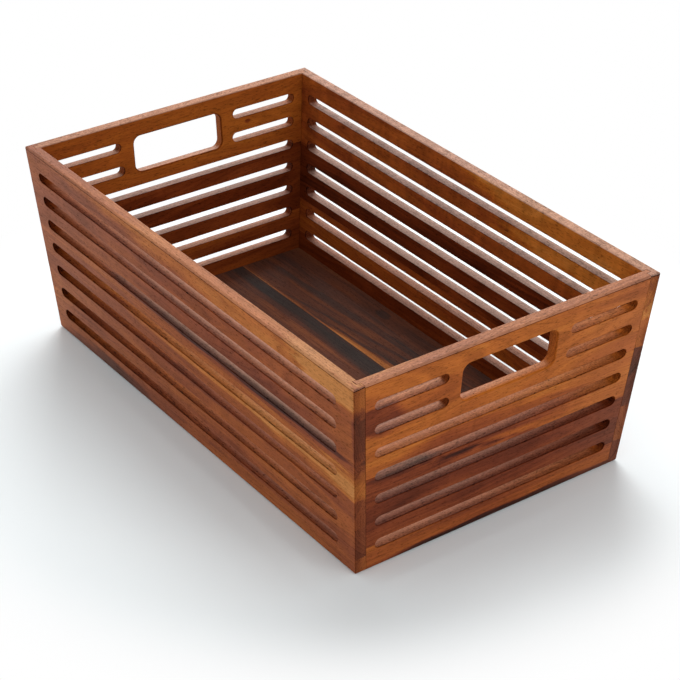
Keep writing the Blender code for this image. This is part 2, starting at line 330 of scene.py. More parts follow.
@dataclass(frozen=True)
class Wall:
    """A leaning wall of the crate, glued up from boards and then routed.

    Attributes:
        name: Its name, which starts its boards' names.
        kind: Whether it is a side wall or an end wall.
        outward: Direction of its outside in plan.
        seams: Rows of its glue seams, from the rim down.
        boards: Its boards, from the rim down.
        shadowed_end: The end of its slots that lies in painted shadow, as the sign of the distance along.
        sizes: The crate's sizes.
        slot_shift: How far its slots lie off its middle.
        tongue_gaps: How far its tongues stop short of the dado in the first and the last wall it meets.
    """

    name: str
    kind: WallKind
    outward: tuple[int, int]
    seams: tuple[float, ...]
    boards: tuple[Board, ...]
    shadowed_end: int
    sizes: CrateSizes = field(default_factory=CrateSizes)
    slot_shift: float = 0.0
    tongue_gaps: tuple[float, float] = (0.0004, 0.0004)

    @property
    def reach(self) -> float:
        """Distance from the crate's middle to the outer rim."""
        span = self.sizes.rim_width if self.kind is WallKind.SIDE else self.sizes.rim_length
        return span / 2

    @property
    def half_rim(self) -> float:
        """Half the length of the outer rim."""
        span = self.sizes.rim_length if self.kind is WallKind.SIDE else self.sizes.rim_width
        return span / 2

    @property
    def slot_reach(self) -> float:
        """How far from the wall's middle its slots would reach at the rim."""
        size = self.sizes
        margin = size.side_slot_margin if self.kind is WallKind.SIDE else size.end_slot_margin
        return self.half_rim - margin

    def axes(self) -> np.ndarray:
        """The wall's unit directions as rows: along it, up its slope and out of it.

        Returns:
            The directions, one a row.
        """
        dx, dy = self.outward
        lean, rise = math.sin(self.sizes.splay), math.cos(self.sizes.splay)
        return np.array(((-dy, dx, 0.0), (dx * lean, dy * lean, rise), (dx * rise, dy * rise, -lean)))

    def rim_middle(self) -> np.ndarray:
        """The middle of the outer rim."""
        dx, dy = self.outward
        return np.array((dx * self.reach, dy * self.reach, self.sizes.height))

    def inset_plane(self, inset: float) -> Plane:
        """The plane inside the outer face by the inset, as its normal and offset."""
        out = self.axes()[2]
        return out, float(out @ self.rim_middle()) - inset

    def depth_plane(self, depth: float) -> Plane:
        """The plane square to the wall at a depth, as its normal and offset."""
        up = self.axes()[1]
        return up, float(up @ self.rim_middle()) - depth

    def to_world(self, local: Points) -> Points:
        """Turns rows of along, up and out distances into points of the crate's frame."""
        return local @ self.axes() + self.rim_middle()

    def to_place(self, points: Points) -> Points:
        """Turns points of the crate's frame into rows of along, depth and inset."""
        local = (points - self.rim_middle()) @ self.axes().T
        return local * np.array((1.0, -1.0, -1.0))

    def plan(self, tongue_gap: float) -> list[tuple[float, float]]:
        """One end of a board's plan, as pairs of inset from its own wall and from the wall it meets.

        A side board's lip reaches round the end wall and its dado takes the tongue. An end board butts
        against the lip, and its tongue goes into the dado.

        Args:
            tongue_gap: How far the tongue stops short of the dado's bottom.

        Returns:
            The pairs, from the outer face to the inner.
        """
        size = self.sizes
        past, line = size.wall + size.overcut, size.joint_line
        if self.kind is WallKind.SIDE:
            dado_end = size.wall + line / 2
            return [(-size.overcut, -size.overcut), (size.wall, -size.overcut), (size.wall, size.lip),
                    (size.dado_floor, size.lip), (size.dado_floor, dado_end), (past, dado_end)]
        shoulder = size.wall + line
        face, back, end = size.lip + line, size.wall - line / 2, size.dado_floor + tongue_gap
        return [(-size.overcut, shoulder), (face, shoulder), (face, end), (back, end),
                (back, shoulder), (past, shoulder)]

    def blank(self, label: str, top: float, bottom: float, meets: tuple["Wall", "Wall"]) -> bpy.types.Object:
        """The sawn blank of one board: its plan carried from one depth to another.

        Each corner is where three planes meet: an inset plane of this wall, one of the wall it meets,
        and the plane of the depth.

        Args:
            label: The board's label.
            top: Depth of its upper edge.
            bottom: Depth of its lower edge.
            meets: The walls at its two ends.

        Returns:
            The blank.
        """
        first, last = meets
        first_gap, last_gap = self.tongue_gaps
        outline = [(own, last, other) for own, other in self.plan(last_gap)]
        outline += [(own, first, other) for own, other in reversed(self.plan(first_gap))]
        planes = [(self.inset_plane(own), wall.inset_plane(other), self.depth_plane(depth))
                  for depth in (top, bottom) for own, wall, other in outline]
        normals = np.array([[plane[0] for plane in corner] for corner in planes])
        offsets = np.array([[plane[1] for plane in corner] for corner in planes])
        points = np.linalg.solve(normals, offsets[..., None])[..., 0]
        return new_item(f"{self.name}_{label}", points, closed_tube(2, len(outline), capped=True))

    def edges(self) -> list[tuple[float, float]]:
        """Depths of the upper and lower edge of each board, with half a glue line left at each seam.

        Returns:
            Pairs of depths, from the rim down.
        """
        size = self.sizes
        seams = [size.row_depth(row) for row in self.seams]
        past_foot = size.face_height + size.wall * math.tan(size.splay) + 2 * size.overcut
        tops = [-2 * size.overcut] + [seam + size.glue_line / 2 for seam in seams]
        bottoms = [seam - size.glue_line / 2 for seam in seams] + [past_foot]
        return list(zip(tops, bottoms))

    def slots(self) -> list[tuple[np.ndarray, np.ndarray]]:
        """Low and high corner of each slot, as distances along and up from the rim's middle.

        Returns:
            Pairs of corners, row by row from the rim down.
        """
        size = self.sizes
        found = []
        for row in range(1, size.slot_count + 1):
            depth = size.row_depth(row)
            low, high = -depth - size.slot_height / 2, -depth + size.slot_height / 2
            tip = self.slot_reach - depth * math.sin(size.splay)
            spans = [(self.slot_shift - tip, self.slot_shift + tip)]
            if self.kind is WallKind.END and row <= size.hand_hole_rows:
                lean = (self.hand_hole_depth() - depth) * math.sin(size.splay)
                inner = size.hand_hole_width / 2 + size.hand_hole_web + lean
                spans = [(-tip, -inner), (inner, tip)]
            found += [(np.array((left, low)), np.array((right, high))) for left, right in spans]
        return found

    def hand_hole_depth(self) -> float:
        """Depth of the hand hole's middle, half way down the rows that it interrupts."""
        return self.sizes.row_depth((1 + self.sizes.hand_hole_rows) / 2)

    def routed_hole(self, low: np.ndarray, high: np.ndarray, radius: float, ease: float) -> Points:
        """Rings of a routed hole: its outline carried through the wall along the round-over's profile.

        At angle t the profile is inset by ease * (1 - sin t) and the outline grown by
        ease * (1 - cos t), for t from 0 to 90 degrees, and the same mirrored from the inner face. Its
        last step runs on past the face along its own slope.

        Args:
            low: Low corner of the hole.
            high: High corner of it.
            radius: Radius of the hole's corners.
            ease: Radius of the round-over.

        Returns:
            The rings, as an array of ring, point and coordinate, in the crate's frame.
        """
        size = self.sizes
        angles = QUARTER * np.linspace(0.0, 1.0, size.round_over_steps + 1)
        inset, growth = ease * (1.0 - np.sin(angles)), ease * (1.0 - np.cos(angles))
        slope = (growth[-1] - growth[-2]) / (inset[-2] - inset[-1])
        inset[-1], growth[-1] = -size.overcut, ease + slope * size.overcut
        insets = np.concatenate((inset[::-1], size.wall - inset))
        growths = np.concatenate((growth[::-1], growth))
        rings = []
        for depth, grown in zip(insets, growths):
            loop = rounded_rectangle(low, high, radius, grown, size.arc_steps)
            rings.append(self.to_world(np.column_stack((loop, np.full(len(loop), -depth)))))
        return np.array(rings)

    def router(self) -> Guide:
        """All of the wall's slots, and an end wall's hand hole, as one set of cutters.

        Returns:
            The guide that cuts them.
        """
        size = self.sizes
        holes = [self.routed_hole(low, high, size.slot_height / 2, size.slot_ease)
                 for low, high in self.slots()]
        if self.kind is WallKind.END:
            middle = np.array((0.0, -self.hand_hole_depth()))
            half = np.array((size.hand_hole_width, size.hand_hole_height)) / 2
            holes.append(self.routed_hole(middle - half, middle + half, size.hand_hole_radius,
                                          size.hand_hole_ease))
        points, faces, start = [], [], 0
        for rings in holes:
            points.append(rings.reshape(-1, 3))
            tube = closed_tube(rings.shape[0], rings.shape[1], capped=True)
            faces += [tuple(start + number for number in face) for face in tube]
            start += rings.shape[0] * rings.shape[1]
        return Guide(new_item(self.name + "_router", np.concatenate(points), faces), Cut.REMOVE)


@dataclass(frozen=True)
class WallShell:
    """The four walls in one piece, before they are divided: a leaning tub with eased edges."""

    sizes: CrateSizes = field(default_factory=CrateSizes)

    def ease(self, corner: np.ndarray, first: np.ndarray, second: np.ndarray, radius: float) -> Points:
        """A rounded edge in section: corner + r (1 - sin t) first + r (1 - cos t) second.

        Args:
            corner: The sharp edge's place, as inset and height.
            first: Unit direction along the face that the section arrives on, away from the edge.
            second: Unit direction along the face that it leaves on.
            radius: Distance from the edge at which the rounding starts.

        Returns:
            The section's points, from the first face to the second.
        """
        angles = QUARTER * np.linspace(0.0, 1.0, self.sizes.ease_steps + 1)[:, None]
        return corner + radius * ((1 - np.sin(angles)) * first + (1 - np.cos(angles)) * second)

    def section(self) -> Points:
        """Section of a wall as insets and heights, from the foot up the outer face and down the inner.

        The inset is square to the outer face. A step inwards at one height is a step of the splay's
        cosine in inset. The inner face stops half way up the floor's thickness, in the space that the
        rabbet takes out.

        Returns:
            The section's points, one a row.
        """
        size = self.sizes
        down, up = np.array((0.0, -math.cos(size.splay))), np.array((0.0, math.cos(size.splay)))
        inwards, outwards = np.array((math.cos(size.splay), 0.0)), np.array((-math.cos(size.splay), 0.0))
        foot = self.ease(np.array((0.0, 0.0)), inwards, up, size.base_ease)
        outer_rim = self.ease(np.array((0.0, size.height)), down, inwards, size.outer_rim_ease)
        inner_rim = self.ease(np.array((size.wall, size.height)), outwards, down, size.rim_ease)
        bottom = np.array(((size.wall, size.floor_thickness / 2),))
        return np.concatenate((foot, outer_rim, inner_rim, bottom))

    def build(self) -> Guide:
        """Carries the section round the crate.

        At height z and inset w the plan is a rectangle, smaller than the rim by the lean's run and by
        w, whose corners are arcs of the corner ease less w, and sharp once that is used up. Point
        (i, j) lies on the plan of section point i, at angle j.

        Returns:
            The guide that trims every board of the walls.
        """
        size = self.sizes
        inset, height = self.section().T
        shrink = (size.height - height) * math.tan(size.splay) + inset / math.cos(size.splay)
        radius = np.maximum(size.corner_ease - inset, 0.0)[:, None]
        turns = np.linspace(0.0, 1.0, size.ease_steps + 1)
        signs = np.repeat(np.array(((1, 1), (-1, 1), (-1, -1), (1, -1))), len(turns), axis=0)
        angles = QUARTER * (np.arange(4)[:, None] + turns[None, :])
        turn = angles.reshape(-1)
        x = signs[:, 0] * ((size.rim_length / 2 - shrink)[:, None] - radius) + radius * np.cos(turn)
        y = signs[:, 1] * ((size.rim_width / 2 - shrink)[:, None] - radius) + radius * np.sin(turn)
        z = np.broadcast_to(height[:, None], x.shape)
        points = np.stack((x, y, z), axis=-1).reshape(-1, 3)
        faces = closed_tube(len(inset), len(turn), capped=True)
        return Guide(new_item("wall_shell", points, faces), Cut.TRIM)

    def rabbet(self) -> Guide:
        """The space that the floor panel takes out of the foot of the walls.

        Returns:
            The guide that cuts it.
        """
        size = self.sizes
        plan = SQUARE * (np.array(size.floor_halves()) + size.floor_gap)
        levels = (-size.overcut, size.floor_thickness + size.floor_gap)
        return Guide(new_prism("floor_rabbet", plan, levels), Cut.REMOVE)


def carve(blank: bpy.types.Object, guides: list[Guide]) -> None:
    """Cuts a blank to its guides and leaves a plain mesh with smooth eased edges.

    Args:
        blank: The board's blank.
        guides: What trims and cuts it, in order.
    """
    for guide in guides:
        modifier = blank.modifiers.new(guide.item.name, "BOOLEAN")
        modifier.operation = guide.cut.value
        modifier.solver = "MANIFOLD"
        modifier.object = guide.item
    depsgraph = bpy.context.evaluated_depsgraph_get()
    mesh = bpy.data.meshes.new_from_object(blank.evaluated_get(depsgraph), depsgraph=depsgraph)
    old, mesh.name = blank.data, blank.name
    blank.modifiers.clear()
    blank.data = mesh
    bpy.data.meshes.remove(old)
    shape = bmesh.new()
    shape.from_mesh(mesh)
    bmesh.ops.remove_doubles(shape, verts=shape.verts, dist=CUT_MERGE)
    bmesh.ops.dissolve_degenerate(shape, edges=shape.edges, dist=SHORTEST_EDGE)
    shape.to_mesh(mesh)
    shape.free()
    smooth = np.ones(len(mesh.polygons), bool)
    mesh.polygons.foreach_set("use_smooth", smooth)
    mesh.set_sharp_from_angle(angle=SHARP_ANGLE)
    weighted = blank.modifiers.new("flat faces stay flat", "WEIGHTED_NORMAL")
    weighted.keep_sharp = True
    weighted.weight = FLAT_FACE_WEIGHT


class WoodGraph:
    """Adds shader nodes to a tree, with plain numbers or other nodes' sockets as inputs."""

    def __init__(self, tree: bpy.types.NodeTree) -> None:
        """Keeps the tree that the nodes go into."""
        self.tree = tree

    def add(self, kind: str, **settings: object) -> bpy.types.Node:
        """Adds a node and sets its properties.

        Args:
            kind: The node's type.
            settings: Its properties, by their names.

        Returns:
            The node.
        """
        node = self.tree.nodes.new(kind)
        for name, value in settings.items():
            setattr(node, name, value)
        return node

    def feed(self, socket: Socket, value: object) -> None:
        """Links a socket to another, or sets its value.

        Args:
            socket: The input.
            value: A number, a colour, a vector or another node's socket.
        """
        if isinstance(value, Socket):
            self.tree.links.new(value, socket)
        else:
            socket.default_value = value

    def math(self, operation: str, *values: object, clamp: bool = False) -> Socket:
        """The result of a Math node.

        Args:
            operation: The node's operation.
            values: Its inputs, as numbers or sockets.
            clamp: Whether the result is held between 0 and 1.

        Returns:
            The output socket.
        """
        node = self.add("ShaderNodeMath", operation=operation, use_clamp=clamp)
        for socket, value in zip(node.inputs, values):
            self.feed(socket, value)
        return node.outputs[0]

    def product(self, first: object, *others: object) -> Socket:
        """All the values multiplied with each other.

        Args:
            first: The first value.
            others: The rest of them.

        Returns:
            The output socket.
        """
        for other in others:
            first = self.math("MULTIPLY", first, other)
        return first

    def total(self, base: object, *terms: tuple[object, object]) -> Socket:
        """The base plus each term's value times its share.

        Args:
            base: What the terms are added to.
            terms: Pairs of a value and its share.

        Returns:
            The output socket.
        """
        for value, share in terms:
            base = self.math("MULTIPLY_ADD", value, share, base)
        return base

    def rest(self, value: object) -> Socket:
        """What is left of 1 after the value, and never below 0."""
        return self.math("SUBTRACT", 1.0, value, clamp=True)

    def held(self, value: object) -> Socket:
        """The value, held between 0 and 1.

        Args:
            value: The value.

        Returns:
            The output socket.
        """
        node = self.add("ShaderNodeClamp")
        self.feed(node.inputs["Value"], value)
        return node.outputs["Result"]

    def stretch(self, place: tuple[object, ...], sizes: tuple[float, ...], seed: object) -> Socket:
        """A place divided by the size of a feature in each direction, moved on by the board's seed.

        Args:
            place: Its three coordinates.
            sizes: The feature's size along each of them.
            seed: The board's seed.

        Returns:
            The stretched place.
        """
        parts = [self.math("MULTIPLY_ADD", value, 1.0 / size, seed) for value, size in zip(place, sizes)]
        node = self.add("ShaderNodeCombineXYZ")
        for socket, part in zip(node.inputs, parts):
            self.feed(socket, part)
        return node.outputs[0]

    def noise(self, vector: object, detail: float = 2.0, roughness: float = 0.5) -> Socket:
        """Smooth noise about 0.5, whose features are as long as one unit of the vector.

        Args:
            vector: Where it is read.
            detail: How many finer layers of noise are laid over it.
            roughness: How strong each of these is next to the one before it.

        Returns:
            The output socket.
        """
        node = self.add("ShaderNodeTexNoise", noise_dimensions="3D")
        self.feed(node.inputs["Vector"], vector)
        node.inputs["Scale"].default_value = 1.0
        node.inputs["Detail"].default_value = detail
        node.inputs["Roughness"].default_value = roughness
        return node.outputs["Fac"]

    def swing(self, vector: object, detail: float, roughness: float = 0.5) -> Socket:
        """The same noise about 0."""
        return self.math("SUBTRACT", self.noise(vector, detail, roughness), 0.5)

    def between(self, value: object, low: float, high: float) -> Socket:
        """Rises smoothly from 0 to 1 as the value goes from low to high.

        Args:
            value: The value.
            low: Where the result is 0. It may be higher than the other.
            high: Where the result is 1.

        Returns:
            The output socket.
        """
        node = self.add("ShaderNodeMapRange", interpolation_type="SMOOTHSTEP")
        self.feed(node.inputs["Value"], value)
        node.inputs["From Min"].default_value = low
        node.inputs["From Max"].default_value = high
        return node.outputs["Result"]

    def blend(self, share: object, ends: tuple[float, float]) -> Socket:
        """Goes from the first number to the second as the share goes from 0 to 1."""
        return self.math("MULTIPLY_ADD", share, ends[1] - ends[0], ends[0])

    def mix(self, share: object, first: object, second: object, way: str = "MIX") -> Socket:
        """The first colour with the second laid over it, in one of Blender's ways.

        Args:
            share: How much of the second shows.
            first: The colour below.
            second: The colour above.
            way: The name of the way.

        Returns:
            The colour.
        """
        node = self.add("ShaderNodeMixRGB", blend_type=way)
        self.feed(node.inputs["Fac"], share)
        self.feed(node.inputs["Color1"], first)
        self.feed(node.inputs["Color2"], second)
        return node.outputs["Color"]

    def scaled(self, colour: object, factor: object) -> Socket:
        """A colour times a number.

        Args:
            colour: The colour.
            factor: The number.

        Returns:
            The colour, as a vector.
        """
        node = self.add("ShaderNodeVectorMath", operation="SCALE")
        self.feed(node.inputs[0], colour)
        self.feed(node.inputs["Scale"], factor)
        return node.outputs[0]


def linear(tone: str) -> Colour:
    """Turns a colour that is written as six hexadecimal digits into the linear values of a shader.

    Args:
        tone: The six digits.

    Returns:
        Red, green, blue and alpha.
    """
    parts = [int(tone[start:start + 2], 16) / 255 for start in (0, 2, 4)]
    lit = [part / 12.92 if part <= 0.04045 else ((part + 0.055) / 1.055) ** 2.4 for part in parts]
    return (*lit, 1.0)


@dataclass(frozen=True)
class Stain:
    """A soft oval place where a board is darker or lighter than the rest, in millimetres.

    Attributes:
        along: Its middle along the wall.
        depth: Its middle below the rim.
        half_length: Half its length.
        half_height: Half its height.
        change: What it adds to the pigment, from darker below 0 to golden above.
        slant: How far it sinks for each millimetre along.
    """

    along: float
    depth: float
    half_length: float
    half_height: float
    change: float
    slant: float = 0.0


@dataclass(frozen=True)
class WearAndLight:
    """How a board's surfaces have dried and aged, and the light and shade painted on them.

    Attributes:
        pale_and_lit: How pale its routed faces are at the outer face and at the inner: paler wood and
            painted light.
        rim: How pale the top of the rim is, partly as paler wood and partly as painted sheen.
        ledge_shading: Painted shade on its routed faces, at the outer face and at the inner. Below 0 is
            painted light.
        paling: How much paler its face is towards one end. On the left side wall this is painted sheen.
        paling_over: Where along the board the paling starts, and where it is full.
        painted_sheen: How much grey painted sheen lies on its face.
        ledge_sheen: How much of it lies on its routed faces.
        rim_sheen: How much of it lies on the top of the rim.
        end_sheen: How much of it lies on its sawn ends.
        slot_shadow: Painted shadow on its slots towards their shaded end, at the outer face and at the
            inner.
        shadow_fade: How far their paleness fades in that painted shadow.
        shadow_over: Distances from that end between which both grow.
        tip_shadow: How much darker the painted shadow makes the slots just before that end.
        edge: How dark its rounded edges are, as a share of the wood's edge shade.
        torn: How much the router tore its fibres.
        hole: How far its hand hole's rounded edges keep the face's colour.
        gloss: Strength of its reflection.
    """

    pale_and_lit: tuple[float, float] = (0.04, 0.04)
    rim: float = 0.21
    ledge_shading: tuple[float, float] = (0.0, 0.0)
    paling: float = 0.0
    paling_over: tuple[float, float] = (90.0, -240.0)
    painted_sheen: float = 0.0
    ledge_sheen: float = 0.0
    rim_sheen: float = 0.0
    end_sheen: float = 0.0
    slot_shadow: tuple[float, float] = (0.0, 0.0)
    shadow_fade: float = 0.0
    shadow_over: tuple[float, float] = (170.0, 10.0)
    tip_shadow: float = 0.0
    edge: float = 1.0
    torn: float = 1.0
    hole: float = 0.0
    gloss: float = 0.05


@dataclass(frozen=True)
class Timber:
    """How one board was sawn and what colour its wood has.

    Attributes:
        level: Pigment of the board as a whole, from 0 for dark heartwood to 1 for golden sapwood.
        contrast: How far the streaks depart from that.
        pith_depth: Depth below the rim of the log's pith, in millimetres.
        pith_inset: Inset of the pith from the outer face, in millimetres.
        taper: How fast the growth rings cross the board along its length.
        seed: A number that sets its figure apart from the other boards'.
        stains: Its darker and lighter places.
        wear_and_light: How its surfaces have dried and aged, and the light and shade painted on them.
        end_dark: How much less pigment from golden to dark its sawn ends show than its face.
        curl: How strong the silky cross figure is.
    """

    level: float
    contrast: float
    pith_depth: float
    pith_inset: float
    taper: float
    seed: float
    stains: tuple[Stain, ...] = ()
    wear_and_light: WearAndLight = WearAndLight()
    end_dark: float = 0.38
    curl: float = 1.0


@dataclass(frozen=True)
class Layer:
    """One layer of the wood's figure: noise of one size, and what it does to the look.

    Attributes:
        size: Size of its features in each direction, in millimetres.
        detail: How many finer layers of noise are laid over it.
        offset: A number that sets it apart from the other layers that follow the rings.
        pigment: What it adds to the pigment.
        tint: What it adds to the brightness.
        roughness: What it adds to the roughness.
        height: How far it raises the surface, in millimetres.
    """

    size: tuple[float, ...]
    detail: float = 2.0
    offset: float = 0.0
    pigment: float = 0.0
    tint: float = 0.0
    roughness: float = 0.0
    height: float = 0.0


@dataclass(frozen=True)
class OiledWood:
    """Oiled hardwood: growth rings about a pith, streaked with pigment, with fibres and open pores.

    Sizes are in millimetres. Bands, streaks and lines follow the rings, so theirs are given across the
    rings and along the board. The others are given along the board, down it and into it.

    Attributes:
        tones: Pigment values and the colours at them.
        pale: Colour that planed and routed edges tend to, partly as they take up less oil and partly as
            painted light.
        painted_sheen: Grey colour laid over surfaces as painted sheen.
        shade_hue: Colour that the wood's is multiplied by where its shade is full; that shade is mostly
            painted shade.
        roughness: Roughness of the oiled surface.
        edge_shade: How dark the rounded edges are.
        lip_shade: How dark the routed faces are just inside the edges of slots and hand holes.
        rim_line: How dark the line is below the rim's rounded outer edge.
        core_shade: How much darker the outer half of a sawn end is.
        tip_shade: How much darker the ends of the slots are, as painted shade where they face away from the
            light.
        tip_paleness_fade: How far the paleness fades in the painted shadow just before the slots' shaded
            ends.
        arris_share: How much of the edge shade the crate's upright corners keep.
        sawn_pale: How much paler a sawn end is, because its grain is rough.
        end_tint: What a sawn end adds to the brightness.
        end_roughness: What it adds to the roughness.
        hole_end: What share of a sawn end's look the ends of slots and hand holes have.
        hole_end_dark: How much less pigment they show than the face.
        hole_end_oiled: How much less pale than the other routed faces they are.
        hole_end_light: How much lighter the hand hole's own ends are than the slots', as painted light.
        wide_warp: Size of the slow wander of the rings.
        wide_wander: How far it moves them.
        fine_warp: Size of their waves.
        fine_wander: How far these move them.
        ring_width: Mean width of a growth ring.
        ring_power: How narrow the dark part of a ring is.
        ring_tint: What it adds to the brightness.
        ring_noise: How rough the noise is that follows the rings.
        band: The broad bands of pigment.
        streak: The streaks.
        line: The thin lines.
        mottle: The cloudy patches.
        fibre: The fibres.
        silk: The silky cross figure.
        torn: The fibres that the router tore.
        pore: The open pores.
        pore_open: Noise values between which a pore opens.
        fray: The noise that frays the edges of stains.
        fray_reach: How far it moves them, as a share of the stain's size.
        stain_edge: Distances between which a stain begins and is full, as shares of its size.
    """

    tones: tuple[tuple[float, str], ...] = (
        (0.00, "1a0a06"), (0.18, "40180a"), (0.35, "652a11"), (0.50, "823d1a"), (0.65, "964d1c"),
        (0.80, "a65b20"), (0.92, "b26a2a"), (1.00, "ba783a"),
    )
    pale: str = "b08a76"
    painted_sheen: str = "a09a98"
    shade_hue: Colour = (1.0, 0.62, 0.50, 1.0)
    roughness: float = 0.50
    edge_shade: float = 0.44
    lip_shade: float = 0.38
    rim_line: float = 0.62
    core_shade: float = 0.14
    tip_shade: float = 0.18
    tip_paleness_fade: float = 0.50
    arris_share: float = 0.25
    sawn_pale: float = 0.09
    end_tint: float = -0.20
    end_roughness: float = 0.10
    hole_end: float = 0.25
    hole_end_dark: float = 0.08
    hole_end_oiled: float = 0.85
    hole_end_light: float = 0.16
    wide_warp: tuple[float, float, float] = (320.0, 60.0, 60.0)
    wide_wander: float = 24.0
    fine_warp: tuple[float, float, float] = (90.0, 14.0, 14.0)
    fine_wander: float = 3.5
    ring_width: float = 3.1
    ring_power: float = 4.0
    ring_tint: float = -0.10
    ring_noise: float = 0.6
    band: Layer = Layer(size=(24.0, 420.0), detail=1.0, offset=3.0, pigment=1.0)
    streak: Layer = Layer(size=(5.0, 260.0), detail=3.0, pigment=0.7)
    line: Layer = Layer(size=(1.3, 90.0), offset=7.0, pigment=0.3, tint=0.55)
    mottle: Layer = Layer(size=(70.0, 20.0, 20.0), detail=3.0, pigment=0.8)
    fibre: Layer = Layer(size=(16.0, 0.6, 0.6), tint=0.70, height=0.03)
    silk: Layer = Layer(size=(9.0, 30.0, 30.0), tint=0.25)
    torn: Layer = Layer(size=(1.9, 0.9, 0.9), tint=1.4, height=0.12)
    pore: Layer = Layer(size=(3.5, 0.75, 0.75), detail=1.0, tint=-0.42, roughness=0.20, height=-0.05)
    pore_open: tuple[float, float] = (0.58, 0.70)
    fray: Layer = Layer(size=(45.0, 6.0, 6.0), detail=3.0, offset=5.0)
    fray_reach: float = 1.4
    stain_edge: tuple[float, float] = (1.25, 0.65)

    def rings(self, graph: WoodGraph, given: Sockets) -> Socket:
        """Distance from the pith, in millimetres, with the taper and the warps added to it.

        The plain distance is the square root of (depth - pith depth) squared plus (inset - pith inset)
        squared. Along the board it grows by the taper.

        Args:
            graph: The nodes of the figure.
            given: The inputs of the figure.

        Returns:
            The distance.
        """
        place = (given["Along"], given["Depth"], given["Inset"])
        wide = graph.noise(graph.stretch(place, self.wide_warp, given["Seed"]))
        fine = graph.noise(graph.stretch(place, self.fine_warp, given["Seed"]))
        down = graph.math("SUBTRACT", given["Depth"], given["Pith depth"])
        into = graph.math("SUBTRACT", given["Inset"], given["Pith inset"])
        square = graph.total(graph.product(into, into), (down, down))
        return graph.total(graph.math("SQRT", square), (given["Along"], given["Taper"]),
                           (wide, self.wide_wander), (fine, self.fine_wander))

    def layers(self, graph: WoodGraph, given: Sockets, distance: Socket) -> list[tuple[Layer, Socket]]:
        """Each layer of the figure with its noise, which swings about 0.

        Args:
            graph: The nodes of the figure.
            given: The inputs of the figure.
            distance: Distance from the pith.

        Returns:
            The pairs. The pores' noise is 0 between them and 1 in them.
        """
        seed = given["Seed"]
        found = []
        for layer in (self.band, self.streak, self.line):
            vector = graph.stretch((distance, given["Along"], layer.offset), (*layer.size, 1.0), seed)
            found.append((layer, graph.swing(vector, layer.detail, self.ring_noise)))
        place = (given["Along"], given["Depth"], given["Inset"])
        strengths = ((self.mottle, 1.0), (self.fibre, 1.0), (self.silk, given["Curl"]),
                     (self.torn, given["Routed"]))
        for layer, strength in strengths:
            swing = graph.swing(graph.stretch(place, layer.size, seed), layer.detail)
            found.append((layer, graph.product(swing, strength)))
        pores = graph.noise(graph.stretch(place, self.pore.size, seed), self.pore.detail)
        found.append((self.pore, graph.between(pores, *self.pore_open)))
        return found

    def toned(self, graph: WoodGraph, pigment: Socket) -> Socket:
        """The colour of a pigment value.

        Args:
            graph: The nodes of the figure.
            pigment: The pigment value.

        Returns:
            The colour.
        """
        ramp = graph.add("ShaderNodeValToRGB")
        stops = ramp.color_ramp.elements
        while len(stops) < len(self.tones):
            stops.new(0.5)
        for stop, (position, tone) in zip(stops, self.tones):
            stop.position = position
            stop.color = linear(tone)
        graph.feed(ramp.inputs["Fac"], pigment)
        return ramp.outputs["Color"]

    def figure(self) -> bpy.types.NodeTree:
        """The node group that turns a place in a board into colour, roughness and height.

        The pigment is the board's own plus twice its contrast times the layers' swing. Its tone is laid
        over with the pale colour, which is partly painted light, the painted sheen and the shade's hue, and
        multiplied by the tint, which the shade darkens. The shade is mostly painted shade.

        Returns:
            The node group.
        """
        tree = bpy.data.node_groups.new("oiled wood figure", "ShaderNodeTree")
        for name in FIGURE_INPUTS:
            tree.interface.new_socket(name, in_out="INPUT", socket_type="NodeSocketFloat")
        for name, kind in (("Colour", "NodeSocketColor"), ("Roughness", "NodeSocketFloat"),
                           ("Height", "NodeSocketFloat")):
            tree.interface.new_socket(name, in_out="OUTPUT", socket_type=kind)
        graph = WoodGraph(tree)
        given = graph.add("NodeGroupInput").outputs
        distance = self.rings(graph, given)
        layers = self.layers(graph, given, distance)
        swing = graph.total(0.0, *((noise, layer.pigment) for layer, noise in layers if layer.pigment))
        pigment = graph.total(given["Pigment"], (swing, graph.product(given["Contrast"], 2.0)))
        pigment = graph.product(pigment, graph.math("SUBTRACT", 1.0, given["End dark"]))
        colour = graph.mix(given["Pale and lit"], self.toned(graph, pigment), linear(self.pale))
        colour = graph.mix(given["Painted sheen"], colour, linear(self.painted_sheen))
        # The shade, mostly painted shade, darkens the colour and makes it redder.
        colour = graph.mix(graph.held(given["Shade"]), colour, self.shade_hue, "MULTIPLY")
        ring = graph.math("FRACT", graph.math("DIVIDE", distance, self.ring_width))
        tint = graph.total(1.0, (graph.math("POWER", ring, self.ring_power), self.ring_tint),
                           *((noise, layer.tint) for layer, noise in layers if layer.tint),
                           (given["End grain"], self.end_tint), (given["Shade"], -1.0))
        rough = graph.total(self.roughness, (given["End grain"], self.end_roughness),
                            *((noise, layer.roughness) for layer, noise in layers if layer.roughness))
        height = graph.total(0.0, *((noise, layer.height) for layer, noise in layers if layer.height))
        out = graph.add("NodeGroupOutput").inputs
        graph.feed(out["Colour"], graph.scaled(colour, tint))
        graph.feed(out["Roughness"], rough)
        graph.feed(out["Height"], height)
        return tree

